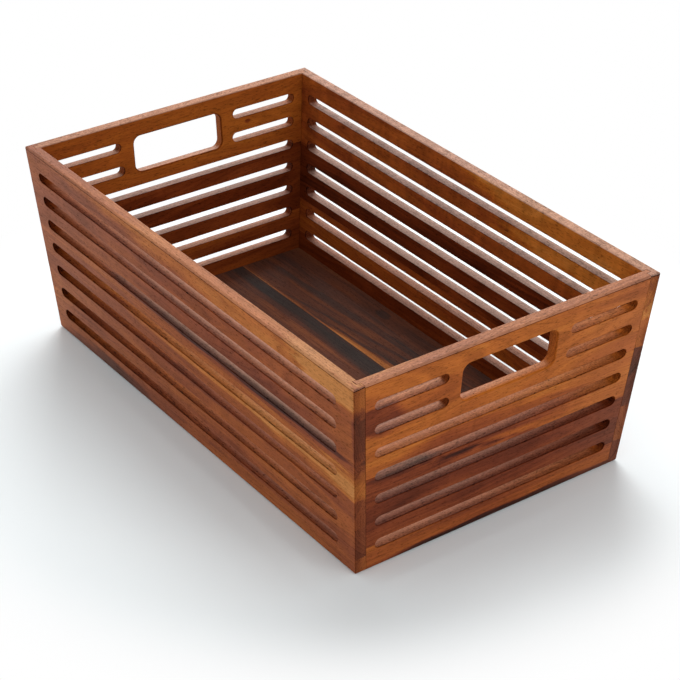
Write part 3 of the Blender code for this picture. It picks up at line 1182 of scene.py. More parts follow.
    def stain_group(self) -> bpy.types.NodeTree:
        """The node group of one stain: its change times a bell that falls off from its middle.

        The distance is the square root of (along / half length) squared plus (depth / half height)
        squared, where the depth is measured from the stain's slanting line. Noise frays its edge.

        Returns:
            The node group.
        """
        tree = bpy.data.node_groups.new("stain", "ShaderNodeTree")
        for name in STAIN_INPUTS:
            tree.interface.new_socket(name, in_out="INPUT", socket_type="NodeSocketFloat")
        tree.interface.new_socket("Pigment", in_out="OUTPUT", socket_type="NodeSocketFloat")
        graph = WoodGraph(tree)
        given = graph.add("NodeGroupInput").outputs
        along = graph.math("SUBTRACT", given["Along"], given["Middle along"])
        depth = graph.math("SUBTRACT", given["Depth"], given["Middle depth"])
        depth = graph.math("SUBTRACT", depth, graph.product(along, given["Slant"]))
        across = graph.math("DIVIDE", along, given["Half length"])
        down = graph.math("DIVIDE", depth, given["Half height"])
        distance = graph.math("SQRT", graph.total(graph.product(down, down), (across, across)))
        frayed = graph.total(distance, (graph.math("SUBTRACT", given["Fray"], 0.5), self.fray_reach))
        bell = graph.between(frayed, *self.stain_edge)
        out = graph.add("NodeGroupOutput").inputs
        graph.feed(out["Pigment"], graph.total(given["Pigment"], (bell, given["Change"])))
        return tree


@dataclass(frozen=True)
class Measures:
    """The crate's sizes that the finish goes by, in millimetres.

    Attributes:
        wall: Thickness of a wall.
        lean: How far a wall leans out for each millimetre up.
        sawn_from: Distance along a side wall past which its boards' sawn ends lie.
        slots_from: Distance along a wall past which only slots have ends.
    """

    wall: float
    lean: float
    sawn_from: float
    slots_from: float


@dataclass(frozen=True)
class Limits:
    """Where one kind of surface passes into the next.

    A turn is how squarely a surface faces in a direction, from 0 to 1. The rest are millimetres, except
    for the shares of the wall.

    Attributes:
        end_turn: Turns along the grain between which a surface becomes an end.
        routed_turn: Turns out of the board between which it becomes a routed face.
        eased_turn: Turns out of it between which a routed face becomes a rounded edge.
        face_turn: Turns out of it between which a rounded edge becomes the board's face.
        inner_shares: Shares of the wall's thickness between which its outer look becomes its inner one.
        rim_depth: Depths between which the faces become the top of the rim.
        sawn_run: How far short of its start a sawn end begins to show.
        sharp_shadow_run: Distances from the slots' shaded ends between which the painted shadow is sharp.
        tip_run: How far the ends of the slots take to get their painted shade.
        hole_run: How far inside the slots' start the hand hole begins to count.
        hole_depth: Depths between which the hand hole's sides become the board below it.
        hole_inset: Insets between which its rounded outer edge lies.
        lip: Distances from a face between which the shade of an edge grows.
        line_top: Depths between which the dark line below the rim begins.
        line_foot: Depths between which it ends.
        line_inset: Distances from the outer faces between which it lies.
        core_inset: Insets between which the outer half of a sawn end lies.
    """

    end_turn: tuple[float, float] = (0.25, 0.80)
    routed_turn: tuple[float, float] = (0.34, 0.08)
    eased_turn: tuple[float, float] = (0.12, 0.30)
    face_turn: tuple[float, float] = (0.85, 0.98)
    inner_shares: tuple[float, float] = (0.1, 0.9)
    rim_depth: tuple[float, float] = (1.9, 1.5)
    sawn_run: float = 6.0
    sharp_shadow_run: tuple[float, float] = (14.0, 3.0)
    tip_run: float = 6.0
    hole_run: float = 1.0
    hole_depth: tuple[float, float] = (60.0, 54.0)
    hole_inset: tuple[float, float] = (3.6, 2.4)
    lip: tuple[float, float] = (1.5, 0.7)
    line_top: tuple[float, float] = (1.5, 1.8)
    line_foot: tuple[float, float] = (2.6, 2.2)
    line_inset: tuple[float, float] = (1.0, 0.5)
    core_inset: tuple[float, float] = (7.0, 3.0)


@dataclass
class BoardSurface:
    """Tells the surfaces of one board apart and works out how each has aged, and the light and shade painted
    on it.

    A mask is 1 on the surfaces that it is named for, 0 elsewhere and in between where they meet.

    Attributes:
        graph: The nodes of the board's material.
        wood: The finish that the boards share.
        stain: The node group of one stain.
        measures: The sizes that the finish goes by.
        timber: How the board was sawn and what colour it has.
        grain: Unit direction of its grain.
        out: Unit direction out of its face.
        shadow_along: Distance along to its slots' ends in painted shadow, in millimetres.
        limits: Where one kind of surface passes into the next.
    """

    graph: WoodGraph
    wood: OiledWood
    stain: bpy.types.NodeTree
    measures: Measures
    timber: Timber
    grain: np.ndarray
    out: np.ndarray
    shadow_along: float
    limits: Limits = Limits()

    @cached_property
    def place(self) -> tuple[Socket, ...]:
        """Distance along, depth below the rim and inset from the outer face, in millimetres."""
        stored = self.graph.add("ShaderNodeAttribute", attribute_type="GEOMETRY",
                                attribute_name=PLACE_ATTRIBUTE)
        split = self.graph.add("ShaderNodeSeparateXYZ")
        self.graph.feed(split.inputs[0], stored.outputs["Vector"])
        return tuple(self.graph.product(part, MILLIMETRES) for part in split.outputs)

    @cached_property
    def reach(self) -> Socket:
        """Distance from the wall's middle as it would be at the rim: |along| + lean times depth."""
        along, depth, _ = self.place
        return self.graph.total(self.graph.math("ABSOLUTE", along), (depth, self.measures.lean))

    def turned(self, direction: np.ndarray) -> Socket:
        """How squarely a surface faces along a direction or against it, from 0 to 1.

        Args:
            direction: A unit direction.

        Returns:
            The output socket.
        """
        dot = self.graph.add("ShaderNodeVectorMath", operation="DOT_PRODUCT")
        self.graph.feed(dot.inputs[0], self.graph.add("ShaderNodeTexCoord").outputs["Normal"])
        self.graph.feed(dot.inputs[1], tuple(direction))
        return self.graph.math("ABSOLUTE", dot.outputs["Value"])

    @cached_property
    def turned_out(self) -> Socket:
        """How squarely a surface faces out of the board or into it."""
        return self.turned(self.out)

    @cached_property
    def corner(self) -> Socket:
        """Mask of the crate's upright corners."""
        start = self.measures.sawn_from
        return self.graph.between(self.reach, start - self.limits.sawn_run, start)

    @cached_property
    def ends(self) -> Socket:
        """Mask of all surfaces across the grain."""
        return self.graph.between(self.turned(self.grain), *self.limits.end_turn)

    @cached_property
    def sawn(self) -> Socket:
        """Mask of the board's sawn ends."""
        return self.graph.product(self.ends, self.corner)

    @cached_property
    def hole_ends(self) -> Socket:
        """Mask of the ends of slots and hand holes."""
        return self.graph.math("SUBTRACT", self.ends, self.sawn)

    @cached_property
    def rim(self) -> Socket:
        """Mask of the top of the rim."""
        return self.graph.between(self.place[1], *self.limits.rim_depth)

    @cached_property
    def below(self) -> Socket:
        """Mask of everything below it."""
        return self.graph.rest(self.rim)

    @cached_property
    def face(self) -> Socket:
        """Mask of the board's own faces."""
        return self.graph.product(self.graph.between(self.turned_out, *self.limits.face_turn), self.below)

    @cached_property
    def routed(self) -> Socket:
        """Mask of the routed faces."""
        flat = self.graph.between(self.turned_out, *self.limits.routed_turn)
        return self.graph.math("SUBTRACT", flat, self.sawn, clamp=True)

    @cached_property
    def ledges(self) -> Socket:
        """Mask of the routed faces that run with the grain."""
        return self.graph.math("SUBTRACT", self.routed, self.hole_ends, clamp=True)

    @cached_property
    def inner(self) -> Socket:
        """Goes from 0 at the outer face to 1 at the inner."""
        insets = (self.measures.wall * share for share in self.limits.inner_shares)
        return self.graph.between(self.place[2], *insets)

    def shadow_from(self, distances: tuple[float, float]) -> Socket:
        """Rises from 0 to 1 between two distances from the slots' ends in painted shadow.

        Args:
            distances: Where the result is 0 and where it is 1, in millimetres.

        Returns:
            The output socket.
        """
        along, depth, _ = self.place
        slanted = self.graph.product(depth, self.measures.lean)
        towards = self.graph.total(slanted, (along, math.copysign(1.0, self.shadow_along)))
        return self.graph.between(towards, *(abs(self.shadow_along) - distance for distance in distances))

    @cached_property
    def long_shadow(self) -> Socket:
        """How far a place is on the way to the slots' shaded end, as the long painted shadow grows."""
        return self.shadow_from(self.timber.wear_and_light.shadow_over)

    @cached_property
    def short_shadow(self) -> Socket:
        """Mask of the slots' last stretch before the shaded end, where the painted shadow is sharp."""
        return self.shadow_from(self.limits.sharp_shadow_run)

    @cached_property
    def unshadowed(self) -> Socket:
        """How far the routed faces lie outside the painted shadow towards the slots' shaded ends."""
        soaked = self.graph.total(0.0, (self.short_shadow, self.wood.tip_paleness_fade),
                                  (self.long_shadow, self.timber.wear_and_light.shadow_fade))
        return self.graph.rest(soaked)

    @cached_property
    def hand_hole(self) -> Socket:
        """Mask of the hand hole's edges, as far as they keep the face's colour."""
        along, depth, _ = self.place
        start = self.measures.slots_from
        between = self.graph.between
        return self.graph.product(
            between(self.graph.math("ABSOLUTE", along), start, start - self.limits.hole_run),
            between(depth, *self.limits.hole_depth), self.timber.wear_and_light.hole)

    @cached_property
    def plain(self) -> Socket:
        """Mask of everything but the rounded outer edge along the hand hole."""
        rounded = self.graph.between(self.place[2], *self.limits.hole_inset)
        return self.graph.rest(self.graph.product(self.hand_hole, self.graph.rest(self.hole_ends), rounded))

    def pigment(self) -> object:
        """The board's pigment with its stains laid over it, one after another.

        Returns:
            The pigment, as a number where the board has no stain.
        """
        along, depth, _ = self.place
        fray = self.wood.fray
        vector = self.graph.stretch(self.place, fray.size, self.timber.seed + fray.offset)
        frayed = self.graph.noise(vector, fray.detail)
        pigment: object = self.timber.level
        for stain in self.timber.stains:
            node = self.graph.add("ShaderNodeGroup", node_tree=self.stain)
            for socket, value in zip(node.inputs, (pigment, along, depth, frayed, *astuple(stain))):
                self.graph.feed(socket, value)
            pigment = node.outputs["Pigment"]
        return pigment

    def pale_and_lit(self) -> Socket:
        """How pale each surface is, partly painted light: routed faces, rim top, sawn ends and faces paler
        at one end.

        Returns:
            The share of the pale colour.
        """
        graph, wear_and_light = self.graph, self.timber.wear_and_light
        # Partly paler wood, partly painted light that grows towards the inner face.
        routed = graph.product(graph.total(1.0, (self.hole_ends, -self.wood.hole_end_oiled)), self.routed,
                               self.unshadowed, self.plain, self.below, graph.blend(self.inner, wear_and_light.pale_and_lit))
        # Paler towards one end of the face; on the left side wall this is painted sheen.
        paling_over = graph.product(graph.between(self.place[0], *wear_and_light.paling_over), self.face)
        return graph.total(routed, (self.rim, wear_and_light.rim), (self.sawn, self.wood.sawn_pale),
                           (paling_over, wear_and_light.paling))

    def painted_sheen(self) -> Socket:
        """How much grey painted sheen lies on each surface.

        Returns:
            The share of the painted sheen's colour.
        """
        wear_and_light = self.timber.wear_and_light
        # All of this is painted sheen: on faces, rims, sawn ends and ledges outside the painted shadow.
        lit_ledges = self.graph.product(self.ledges, self.below, self.unshadowed)
        return self.graph.total(0.0, (self.face, wear_and_light.painted_sheen), (self.rim, wear_and_light.rim_sheen), (lit_ledges, wear_and_light.ledge_sheen),
                                (self.sawn, wear_and_light.end_sheen))

    def edge_darkening(self) -> Socket:
        """How dark the rounded edges are, less so on the upright corners.

        Returns:
            The amount, from 0 to 1.
        """
        graph, limits = self.graph, self.limits
        return graph.product(graph.between(self.turned_out, *limits.eased_turn),
                             graph.between(self.turned_out, *reversed(limits.face_turn)),
                             graph.blend(self.corner, (self.timber.wear_and_light.edge, self.wood.arris_share)))

    def lip_darkening(self) -> Socket:
        """How dark the routed faces are just inside the edges of slots and hand holes.

        Returns:
            The amount, from 0 to 1.
        """
        half = self.measures.wall / 2
        middle = self.graph.math("ABSOLUTE", self.graph.math("SUBTRACT", self.place[2], half))
        near = self.graph.between(middle, *(half - distance for distance in self.limits.lip))
        return self.graph.product(near, self.routed)

    def rim_line_darkening(self) -> Socket:
        """How strong the dark line is below the rim's rounded outer edge.

        Returns:
            The amount, from 0 to 1.
        """
        graph, limits = self.graph, self.limits
        _, depth, inset = self.place
        outermost = self.measures.sawn_from + self.measures.wall
        on_face = graph.between(inset, *limits.line_inset)
        on_end = graph.between(self.reach, *(outermost - distance for distance in limits.line_inset))
        return graph.product(graph.between(depth, *limits.line_top), graph.between(depth, *limits.line_foot),
                             graph.math("MAXIMUM", on_face, on_end))

    def shade(self) -> Socket:
        """How dark each surface is, mostly with painted shade in the slots and at their tips.

        Returns:
            The shade, which is below 0 where painted light makes a surface lighter than its colour.
        """
        graph, wood, wear_and_light = self.graph, self.wood, self.timber.wear_and_light
        start = self.measures.slots_from
        # Painted shade and light on the ledges, and painted shadow towards the slots' shaded end.
        slot_shadow = graph.total(graph.product(self.long_shadow, graph.blend(self.inner, wear_and_light.slot_shadow)),
                           (self.short_shadow, wear_and_light.tip_shadow))
        # Painted shade on the ends of the slots.
        tips = graph.product(self.hole_ends, graph.between(self.reach, start, start + self.limits.tip_run))
        painted_dark = graph.total(graph.product(self.ledges, graph.blend(self.inner, wear_and_light.ledge_shading)),
                           (self.edge_darkening(), wood.edge_shade), (self.routed, slot_shadow), (tips, wood.tip_shade),
                           (self.lip_darkening(), wood.lip_shade))
        core = graph.product(graph.between(self.place[2], *self.limits.core_inset), self.sawn)
        return graph.total(graph.product(painted_dark, self.below, self.plain),
                           # Painted light on the hand hole's own ends.
                           (graph.product(self.hand_hole, self.hole_ends), -wood.hole_end_light),
                           (self.rim_line_darkening(), wood.rim_line), (core, wood.core_shade))

    def figure_values(self) -> dict[str, object]:
        """What the wood's figure is given, by the names of its inputs.

        Returns:
            A number or a socket for each input.
        """
        graph, timber = self.graph, self.timber
        along, depth, inset = self.place
        return {
            "Along": along,
            "Depth": depth,
            "Inset": inset,
            "Pigment": self.pigment(),
            "Contrast": timber.contrast,
            "Pith depth": timber.pith_depth,
            "Pith inset": timber.pith_inset,
            "Taper": timber.taper,
            "Seed": timber.seed,
            "End grain": graph.total(self.sawn, (self.hole_ends, self.wood.hole_end)),
            "End dark": graph.total(graph.product(self.sawn, timber.end_dark),
                                    (self.hole_ends, self.wood.hole_end_dark)),
            "Routed": graph.product(self.routed, timber.wear_and_light.torn),
            "Pale and lit": self.pale_and_lit(),
            "Painted sheen": self.painted_sheen(),
            "Shade": self.shade(),
            "Curl": timber.curl,
        }


@dataclass
class Dresser:
    """Gives each board its material.

    Attributes:
        wood: The finish that the boards share.
        measures: The sizes that it goes by.
        figure: The node group of the wood's figure.
        stain: The node group of one stain.
    """

    wood: OiledWood
    measures: Measures
    figure: bpy.types.NodeTree = field(init=False)
    stain: bpy.types.NodeTree = field(init=False)

    def __post_init__(self) -> None:
        """Makes the node groups that the boards share."""
        self.figure = self.wood.figure()
        self.stain = self.wood.stain_group()

    def material(self, name: str, timber: Timber, grain: np.ndarray, out: np.ndarray,
                 shadow_along: float) -> bpy.types.Material:
        """The oiled wood of one board.

        Args:
            name: Name of the board.
            timber: How it was sawn and what colour it has.
            grain: Unit direction of its grain.
            out: Unit direction out of its face.
            shadow_along: Distance along to its slots' ends in painted shadow, in millimetres.

        Returns:
            The material.
        """
        material = bpy.data.materials.new(name + " oiled wood")
        material.use_nodes = True
        graph = WoodGraph(material.node_tree)
        surface = BoardSurface(graph, self.wood, self.stain, self.measures, timber, grain, out, shadow_along)
        figure = graph.add("ShaderNodeGroup", node_tree=self.figure)
        for socket, value in surface.figure_values().items():
            graph.feed(figure.inputs[socket], value)
        bump = graph.add("ShaderNodeBump")
        bump.inputs["Strength"].default_value = 1.0
        bump.inputs["Distance"].default_value = 1.0 / MILLIMETRES
        graph.feed(bump.inputs["Height"], figure.outputs["Height"])
        shader = material.node_tree.nodes["Principled BSDF"]
        shader.inputs["Specular IOR Level"].default_value = timber.wear_and_light.gloss
        graph.feed(shader.inputs["Base Color"], figure.outputs["Colour"])
        graph.feed(shader.inputs["Roughness"], figure.outputs["Roughness"])
        graph.feed(shader.inputs["Normal"], bump.outputs["Normal"])
        return material

    def dress(self, item: bpy.types.Object, board: Board, place: Points, grain: np.ndarray, out: np.ndarray,
              shadow_along: float = NO_SHADOW) -> None:
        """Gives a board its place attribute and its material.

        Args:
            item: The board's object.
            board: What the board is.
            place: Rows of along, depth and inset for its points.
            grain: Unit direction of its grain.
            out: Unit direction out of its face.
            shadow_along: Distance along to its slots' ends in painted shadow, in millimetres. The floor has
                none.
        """
        layer = item.data.attributes.new(PLACE_ATTRIBUTE, "FLOAT_VECTOR", "POINT")
        layer.data.foreach_set("vector", place.astype(np.float32).ravel())
        item.data.materials.clear()
        item.data.materials.append(self.material(item.name, board.timber, grain, out, shadow_along))
        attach(item, SOLE_BODY)


def mesh_points(item: bpy.types.Object) -> Points:
    """The points of an object's mesh, one row each.

    Args:
        item: The object.

    Returns:
        The points.
    """
    points = np.empty(len(item.data.vertices) * 3, np.float32)
    item.data.vertices.foreach_get("co", points)
    return points.reshape(-1, 3).astype(float)


@dataclass
class Crate:
    """The whole crate: four walls and a floor.

    Attributes:
        walls: Its walls.
        floor: The floor's boards, from the left side to the right.
        floor_seams: Where the glue seams between them lie, as distances to the right of the middle.
        sizes: The crate's sizes.
        dresser: What dresses the walls' boards.
        floor_dresser: What dresses the floor's.
    """

    walls: tuple[Wall, ...]
    floor: tuple[Board, ...]
    floor_seams: tuple[float, ...]
    sizes: CrateSizes
    dresser: Dresser
    floor_dresser: Dresser

    def build_walls(self) -> list[bpy.types.Object]:
        """Builds and dresses the boards of all four walls.

        Returns:
            The boards, wall by wall.
        """
        shell = WallShell(self.sizes)
        trim, rabbet = shell.build(), shell.rabbet()
        made = []
        for wall in self.walls:
            router = wall.router()
            meets = tuple(other for other in self.walls if other.kind is not wall.kind)
            for board, (top, bottom) in zip(wall.boards, wall.edges()):
                item = wall.blank(board.label, top, bottom, meets)
                guides = [trim, router]
                if bottom > self.sizes.face_height:
                    guides.insert(1, rabbet)
                carve(item, guides)
                grain, _, out = wall.axes()
                # The ends of the slots that lie in painted shadow from the wall beyond.
                shadow_along = math.copysign(wall.slot_reach, wall.shadowed_end) * MILLIMETRES
                self.dresser.dress(item, board, wall.to_place(mesh_points(item)), grain, out, shadow_along)
                made.append(item)
            bpy.data.objects.remove(router.item)
        for guide in (trim, rabbet):
            bpy.data.objects.remove(guide.item)
        return made

    def floor_panel(self) -> Guide:
        """The floor panel in one piece, rounded round its underside and its upright corners.

        At each height of the section the plan is a rectangle with round corners, as for the shell.

        Returns:
            The guide that trims the floor's boards.
        """
        size = self.sizes
        half = np.array(size.floor_halves())
        angles = QUARTER * np.linspace(0.0, 1.0, size.ease_steps + 1)
        inset = np.append(size.floor_ease * (1 - np.sin(angles)), 0.0)
        height = np.append(size.floor_ease * (1 - np.cos(angles)), size.floor_thickness)
        rings = []
        for shrink, level in zip(inset, height):
            loop = rounded_rectangle(-half, half, size.floor_ease, -shrink, size.ease_steps)
            rings.append(np.column_stack((loop, np.full(len(loop), level))))
        points = np.array(rings)
        faces = closed_tube(points.shape[0], points.shape[1], capped=True)
        return Guide(new_item("floor_panel", points.reshape(-1, 3), faces), Cut.TRIM)

    def build_floor(self) -> list[bpy.types.Object]:
        """Builds and dresses the floor's boards, each a strip of the panel.

        Returns:
            The boards, from the left side to the right.
        """
        size = self.sizes
        panel = self.floor_panel()
        end, side = (half + size.overcut for half in size.floor_halves())
        line = size.glue_line / 2
        lows = [-side] + [seam + line for seam in self.floor_seams]
        highs = [seam - line for seam in self.floor_seams] + [side]
        levels = (-size.overcut, size.floor_thickness + size.overcut)
        grain, up = np.array((1.0, 0.0, 0.0)), np.array((0.0, 0.0, 1.0))
        made = []
        for board, low, high in zip(self.floor, lows, highs):
            plan = np.array(((-end, low), (end, low), (end, high), (-end, high)))
            item = new_prism(board.label, plan, levels)
            carve(item, [panel])
            place = mesh_points(item) * np.array((1.0, -1.0, 1.0))
            self.floor_dresser.dress(item, board, place, grain, up)
            made.append(item)
        bpy.data.objects.remove(panel.item)
        return made


@dataclass(frozen=True)
class SoftBox:
    """A square lamp with soft light.

    Attributes:
        name: Its name.
        place: Where it hangs.
        width: Length of its sides.
        watts: Its power.
    """

    name: str
    place: tuple[float, float, float]
    width: float
    watts: float

    def hang(self, target: tuple[float, float, float]) -> None:
        """Adds the lamp to the scene, turned to the target.

        Args:
            target: The point that it faces.
        """
        data = bpy.data.lights.new(self.name, "AREA")
        data.shape = "SQUARE"
        data.size = self.width
        data.energy = self.watts
        lamp = bpy.data.objects.new(self.name, data)
        lamp.location = self.place
        towards = Vector(target) - Vector(self.place)
        lamp.rotation_euler = towards.to_track_quat("-Z", "Y").to_euler()
        bpy.context.scene.collection.objects.link(lamp)


@dataclass(frozen=True)
class Studio:
    """The pale floor, the soft light and the camera.

    Attributes:
        camera_place: Where the camera stands.
        camera_turn: Its rotation, in degrees.
        lens: Its focal length in millimetres.
        sensor_width: Width of its sensor in millimetres.
        clip: Nearest and furthest distance that it sees.
        soft_boxes: The lamps.
        lit_point: The point that they face.
        air: Strength of the light from all round.
        white: Colour of the background and of that light.
        floor_half: Half the width of the pale floor.
        floor_near: Its colour under the crate, where it is cooler to offset the wood's warm light.
        floor_far: Its colour further out.
        floor_run: Distances from the middle between which the one turns into the other.
        floor_fade: Distances between which the camera sees it turn to the white of the background.
        floor_roughness: Its roughness.
        floor_gloss: Strength of its reflection.
    """

    camera_place: tuple[float, float, float] = (1.23325, -0.88696, 0.96820)
    camera_turn: tuple[float, float, float] = (58.8685, -0.4503, 54.0674)
    lens: float = 109.685
    sensor_width: float = 36.0
    clip: tuple[float, float] = (0.05, 50.0)
    soft_boxes: tuple[SoftBox, ...] = (
        SoftBox(name="high_softbox", place=(-0.81, 0.59, 1.73), width=1.4, watts=20.0),
        SoftBox(name="back_softbox", place=(-1.45, 1.05, 0.88), width=1.1, watts=22.0),
        SoftBox(name="left_softbox", place=(-0.4, -1.9, 0.75), width=1.4, watts=6.0),
        SoftBox(name="front_softbox", place=(1.9, 0.3, 0.75), width=1.4, watts=12.0),
    )
    lit_point: tuple[float, float, float] = (0.0, 0.0, 0.08)
    air: float = 0.60
    white: Colour = (1.0, 1.0, 1.0, 1.0)
    floor_half: float = 6.0
    floor_near: Colour = (0.835, 0.890, 0.905, 1.0)
    floor_far: Colour = (0.880, 0.880, 0.880, 1.0)
    floor_run: tuple[float, float] = (0.15, 0.75)
    floor_fade: tuple[float, float] = (0.31, 0.42)
    floor_roughness: float = 0.9
    floor_gloss: float = 0.1

    def place_camera(self) -> None:
        """Sets the camera at the photographed angle."""
        data = bpy.data.cameras.new("studio_camera")
        data.lens = self.lens
        data.sensor_width = self.sensor_width
        data.clip_start, data.clip_end = self.clip
        camera = bpy.data.objects.new("studio_camera", data)
        camera.location = self.camera_place
        camera.rotation_euler = Euler([math.radians(angle) for angle in self.camera_turn])
        bpy.context.scene.collection.objects.link(camera)
        bpy.context.scene.camera = camera

    def floor_material(self) -> bpy.types.Material:
        """The floor's colour, which only the camera sees fade to the white of the background.

        Returns:
            The material.
        """
        material = bpy.data.materials.new("studio floor")
        material.use_nodes = True
        graph = WoodGraph(material.node_tree)
        length = graph.add("ShaderNodeVectorMath", operation="LENGTH")
        graph.feed(length.inputs[0], graph.add("ShaderNodeTexCoord").outputs["Object"])
        distance = length.outputs["Value"]
        colour = graph.mix(graph.between(distance, *self.floor_run), self.floor_near, self.floor_far)
        shader = material.node_tree.nodes["Principled BSDF"]
        graph.feed(shader.inputs["Base Color"], colour)
        shader.inputs["Roughness"].default_value = self.floor_roughness
        shader.inputs["Specular IOR Level"].default_value = self.floor_gloss
        faded = graph.add("ShaderNodeMixShader")
        seen = graph.add("ShaderNodeLightPath").outputs["Is Camera Ray"]
        graph.feed(faded.inputs[0], graph.product(graph.between(distance, *self.floor_fade), seen))
        graph.feed(faded.inputs[1], shader.outputs[0])
        graph.feed(faded.inputs[2], graph.add("ShaderNodeEmission").outputs[0])
        graph.feed(material.node_tree.nodes["Material Output"].inputs["Surface"], faded.outputs[0])
        return material

    def pale_floor(self) -> None:
        """A wide pale floor that keeps the crate's shadow."""
        plan = SQUARE * self.floor_half
        points = np.column_stack((plan, np.zeros(len(plan))))
        mesh = bpy.data.meshes.new("studio_floor")
        mesh.from_pydata(points.tolist(), [], [tuple(range(len(plan)))])
        mesh.materials.append(self.floor_material())
        floor = bpy.data.objects.new("studio_floor", mesh)
        bpy.context.scene.collection.objects.link(floor)

    def light(self) -> None:
        """Hangs the lamps and sets the world, which rays that look at it see as white."""
        for box in self.soft_boxes:
            box.hang(self.lit_point)
        world = bpy.data.worlds.new("studio_air")
        world.use_nodes = True
        bpy.context.scene.world = world
        graph = WoodGraph(world.node_tree)
        background = world.node_tree.nodes["Background"]
        background.inputs["Color"].default_value = self.white
        rays = graph.add("ShaderNodeLightPath").outputs
        seen = graph.math("MAXIMUM", rays["Is Glossy Ray"], rays["Is Transmission Ray"])
        seen = graph.math("MAXIMUM", rays["Is Camera Ray"], seen)
        graph.feed(background.inputs["Strength"], graph.blend(seen, (self.air, 1.0)))
        bpy.context.scene.view_settings.view_transform = "Standard"


# Painted light and shade: routed faces pale towards the inner face, slots darken in painted shadow towards
# one end, and grey painted sheen lies on faces, ledges and rims.
LEFT_WEAR_AND_LIGHT = WearAndLight(pale_and_lit=(0.10, 0.60), rim=0.24, ledge_shading=(0.18, -0.28), paling=0.16, painted_sheen=0.065, rim_sheen=0.09,
                 slot_shadow=(0.22, 0.24), shadow_fade=0.75, shadow_over=(400.0, 60.0), tip_shadow=0.20, torn=0.5, gloss=0.02)
FRONT_WEAR_AND_LIGHT = WearAndLight(pale_and_lit=(0.14, 0.40), rim=0.26, ledge_shading=(0.12, -0.18), paling=0.07, paling_over=(20.0, 150.0),
                  painted_sheen=0.028, ledge_sheen=0.03, rim_sheen=0.12, slot_shadow=(-0.04, 0.22), shadow_fade=0.60, tip_shadow=0.10,
                  edge=0.65, gloss=0.02)
# On the far walls the routed faces and the rim are paler and lighter with painted light and painted sheen.
FAR_WEAR_AND_LIGHT = WearAndLight(pale_and_lit=(0.62, 0.62), rim=0.70, ledge_shading=(-0.22, -0.10), ledge_sheen=0.06, rim_sheen=0.14,
                tip_shadow=0.04, gloss=0.008)
# A stain's numbers are its middle along and down, half its length and height, its change and its slant.
LEFT_BOARDS = (
    Board(label="rim_board", slot="reddish_wood", timber=Timber(
        level=0.56, contrast=0.24, pith_depth=30.0, pith_inset=90.0, taper=0.02, seed=1.3,
        end_dark=0.28,
        wear_and_light=replace(LEFT_WEAR_AND_LIGHT, pale_and_lit=(0.14, 0.74), ledge_shading=(0.14, -0.36), slot_shadow=(0.16, 0.14), shadow_fade=0.60,
                     shadow_over=(260.0, 60.0)),
        stains=(
            Stain(120.0, 6.0, 260.0, 16.0, 0.27, 0.03),
            Stain(214.0, 8.0, 58.0, 13.0, 0.26, 0.08),
            Stain(-120.0, 14.0, 60.0, 10.0, -0.08, 0.06),
            Stain(60.0, 58.0, 150.0, 10.0, -0.10, 0.02),
            Stain(240.0, 55.0, 5.0, 30.0, -0.19),
            Stain(242.0, 16.0, 3.6, 24.0, -0.12),
            Stain(70.0, 72.2, 190.0, 3.0, -0.32),
        ),
    )),
    Board(label="upper_board", slot="golden_wood", timber=Timber(
        level=0.58, contrast=0.24, pith_depth=150.0, pith_inset=70.0, taper=0.03, seed=7.1,
        end_dark=0.20,
        wear_and_light=replace(LEFT_WEAR_AND_LIGHT, pale_and_lit=(0.04, 0.36), ledge_shading=(0.12, -0.26)),
        stains=(
            Stain(200.0, 98.0, 110.0, 8.0, 0.20, 0.0),
            Stain(226.0, 94.0, 34.0, 12.0, 0.26, 0.1),
            Stain(40.0, 95.0, 170.0, 4.0, 0.30),
            Stain(50.0, 117.2, 80.0, 2.6, -0.14),
        ),
    )),
    Board(label="lower_board", slot="reddish_wood", timber=Timber(
        level=0.60, contrast=0.24, pith_depth=100.0, pith_inset=80.0, taper=0.02, seed=3.7,
        end_dark=0.35, curl=1.8,
        wear_and_light=replace(LEFT_WEAR_AND_LIGHT, pale_and_lit=(0.08, 0.48), shadow_over=(500.0, 110.0)),
        stains=(
            Stain(-150.0, 140.0, 60.0, 7.0, -0.10),
            Stain(240.0, 150.0, 8.0, 22.0, -0.14),
        ),
    )),
    Board(label="base_board", slot="orange_wood", timber=Timber(
        level=0.60, contrast=0.24, pith_depth=210.0, pith_inset=60.0, taper=0.02, seed=9.2,
        end_dark=0.05,
        wear_and_light=LEFT_WEAR_AND_LIGHT,
        stains=(
            Stain(-130.0, 176.0, 80.0, 8.0, -0.26),
            Stain(-60.0, 173.0, 90.0, 8.0, -0.12),
        ),
    )),
)
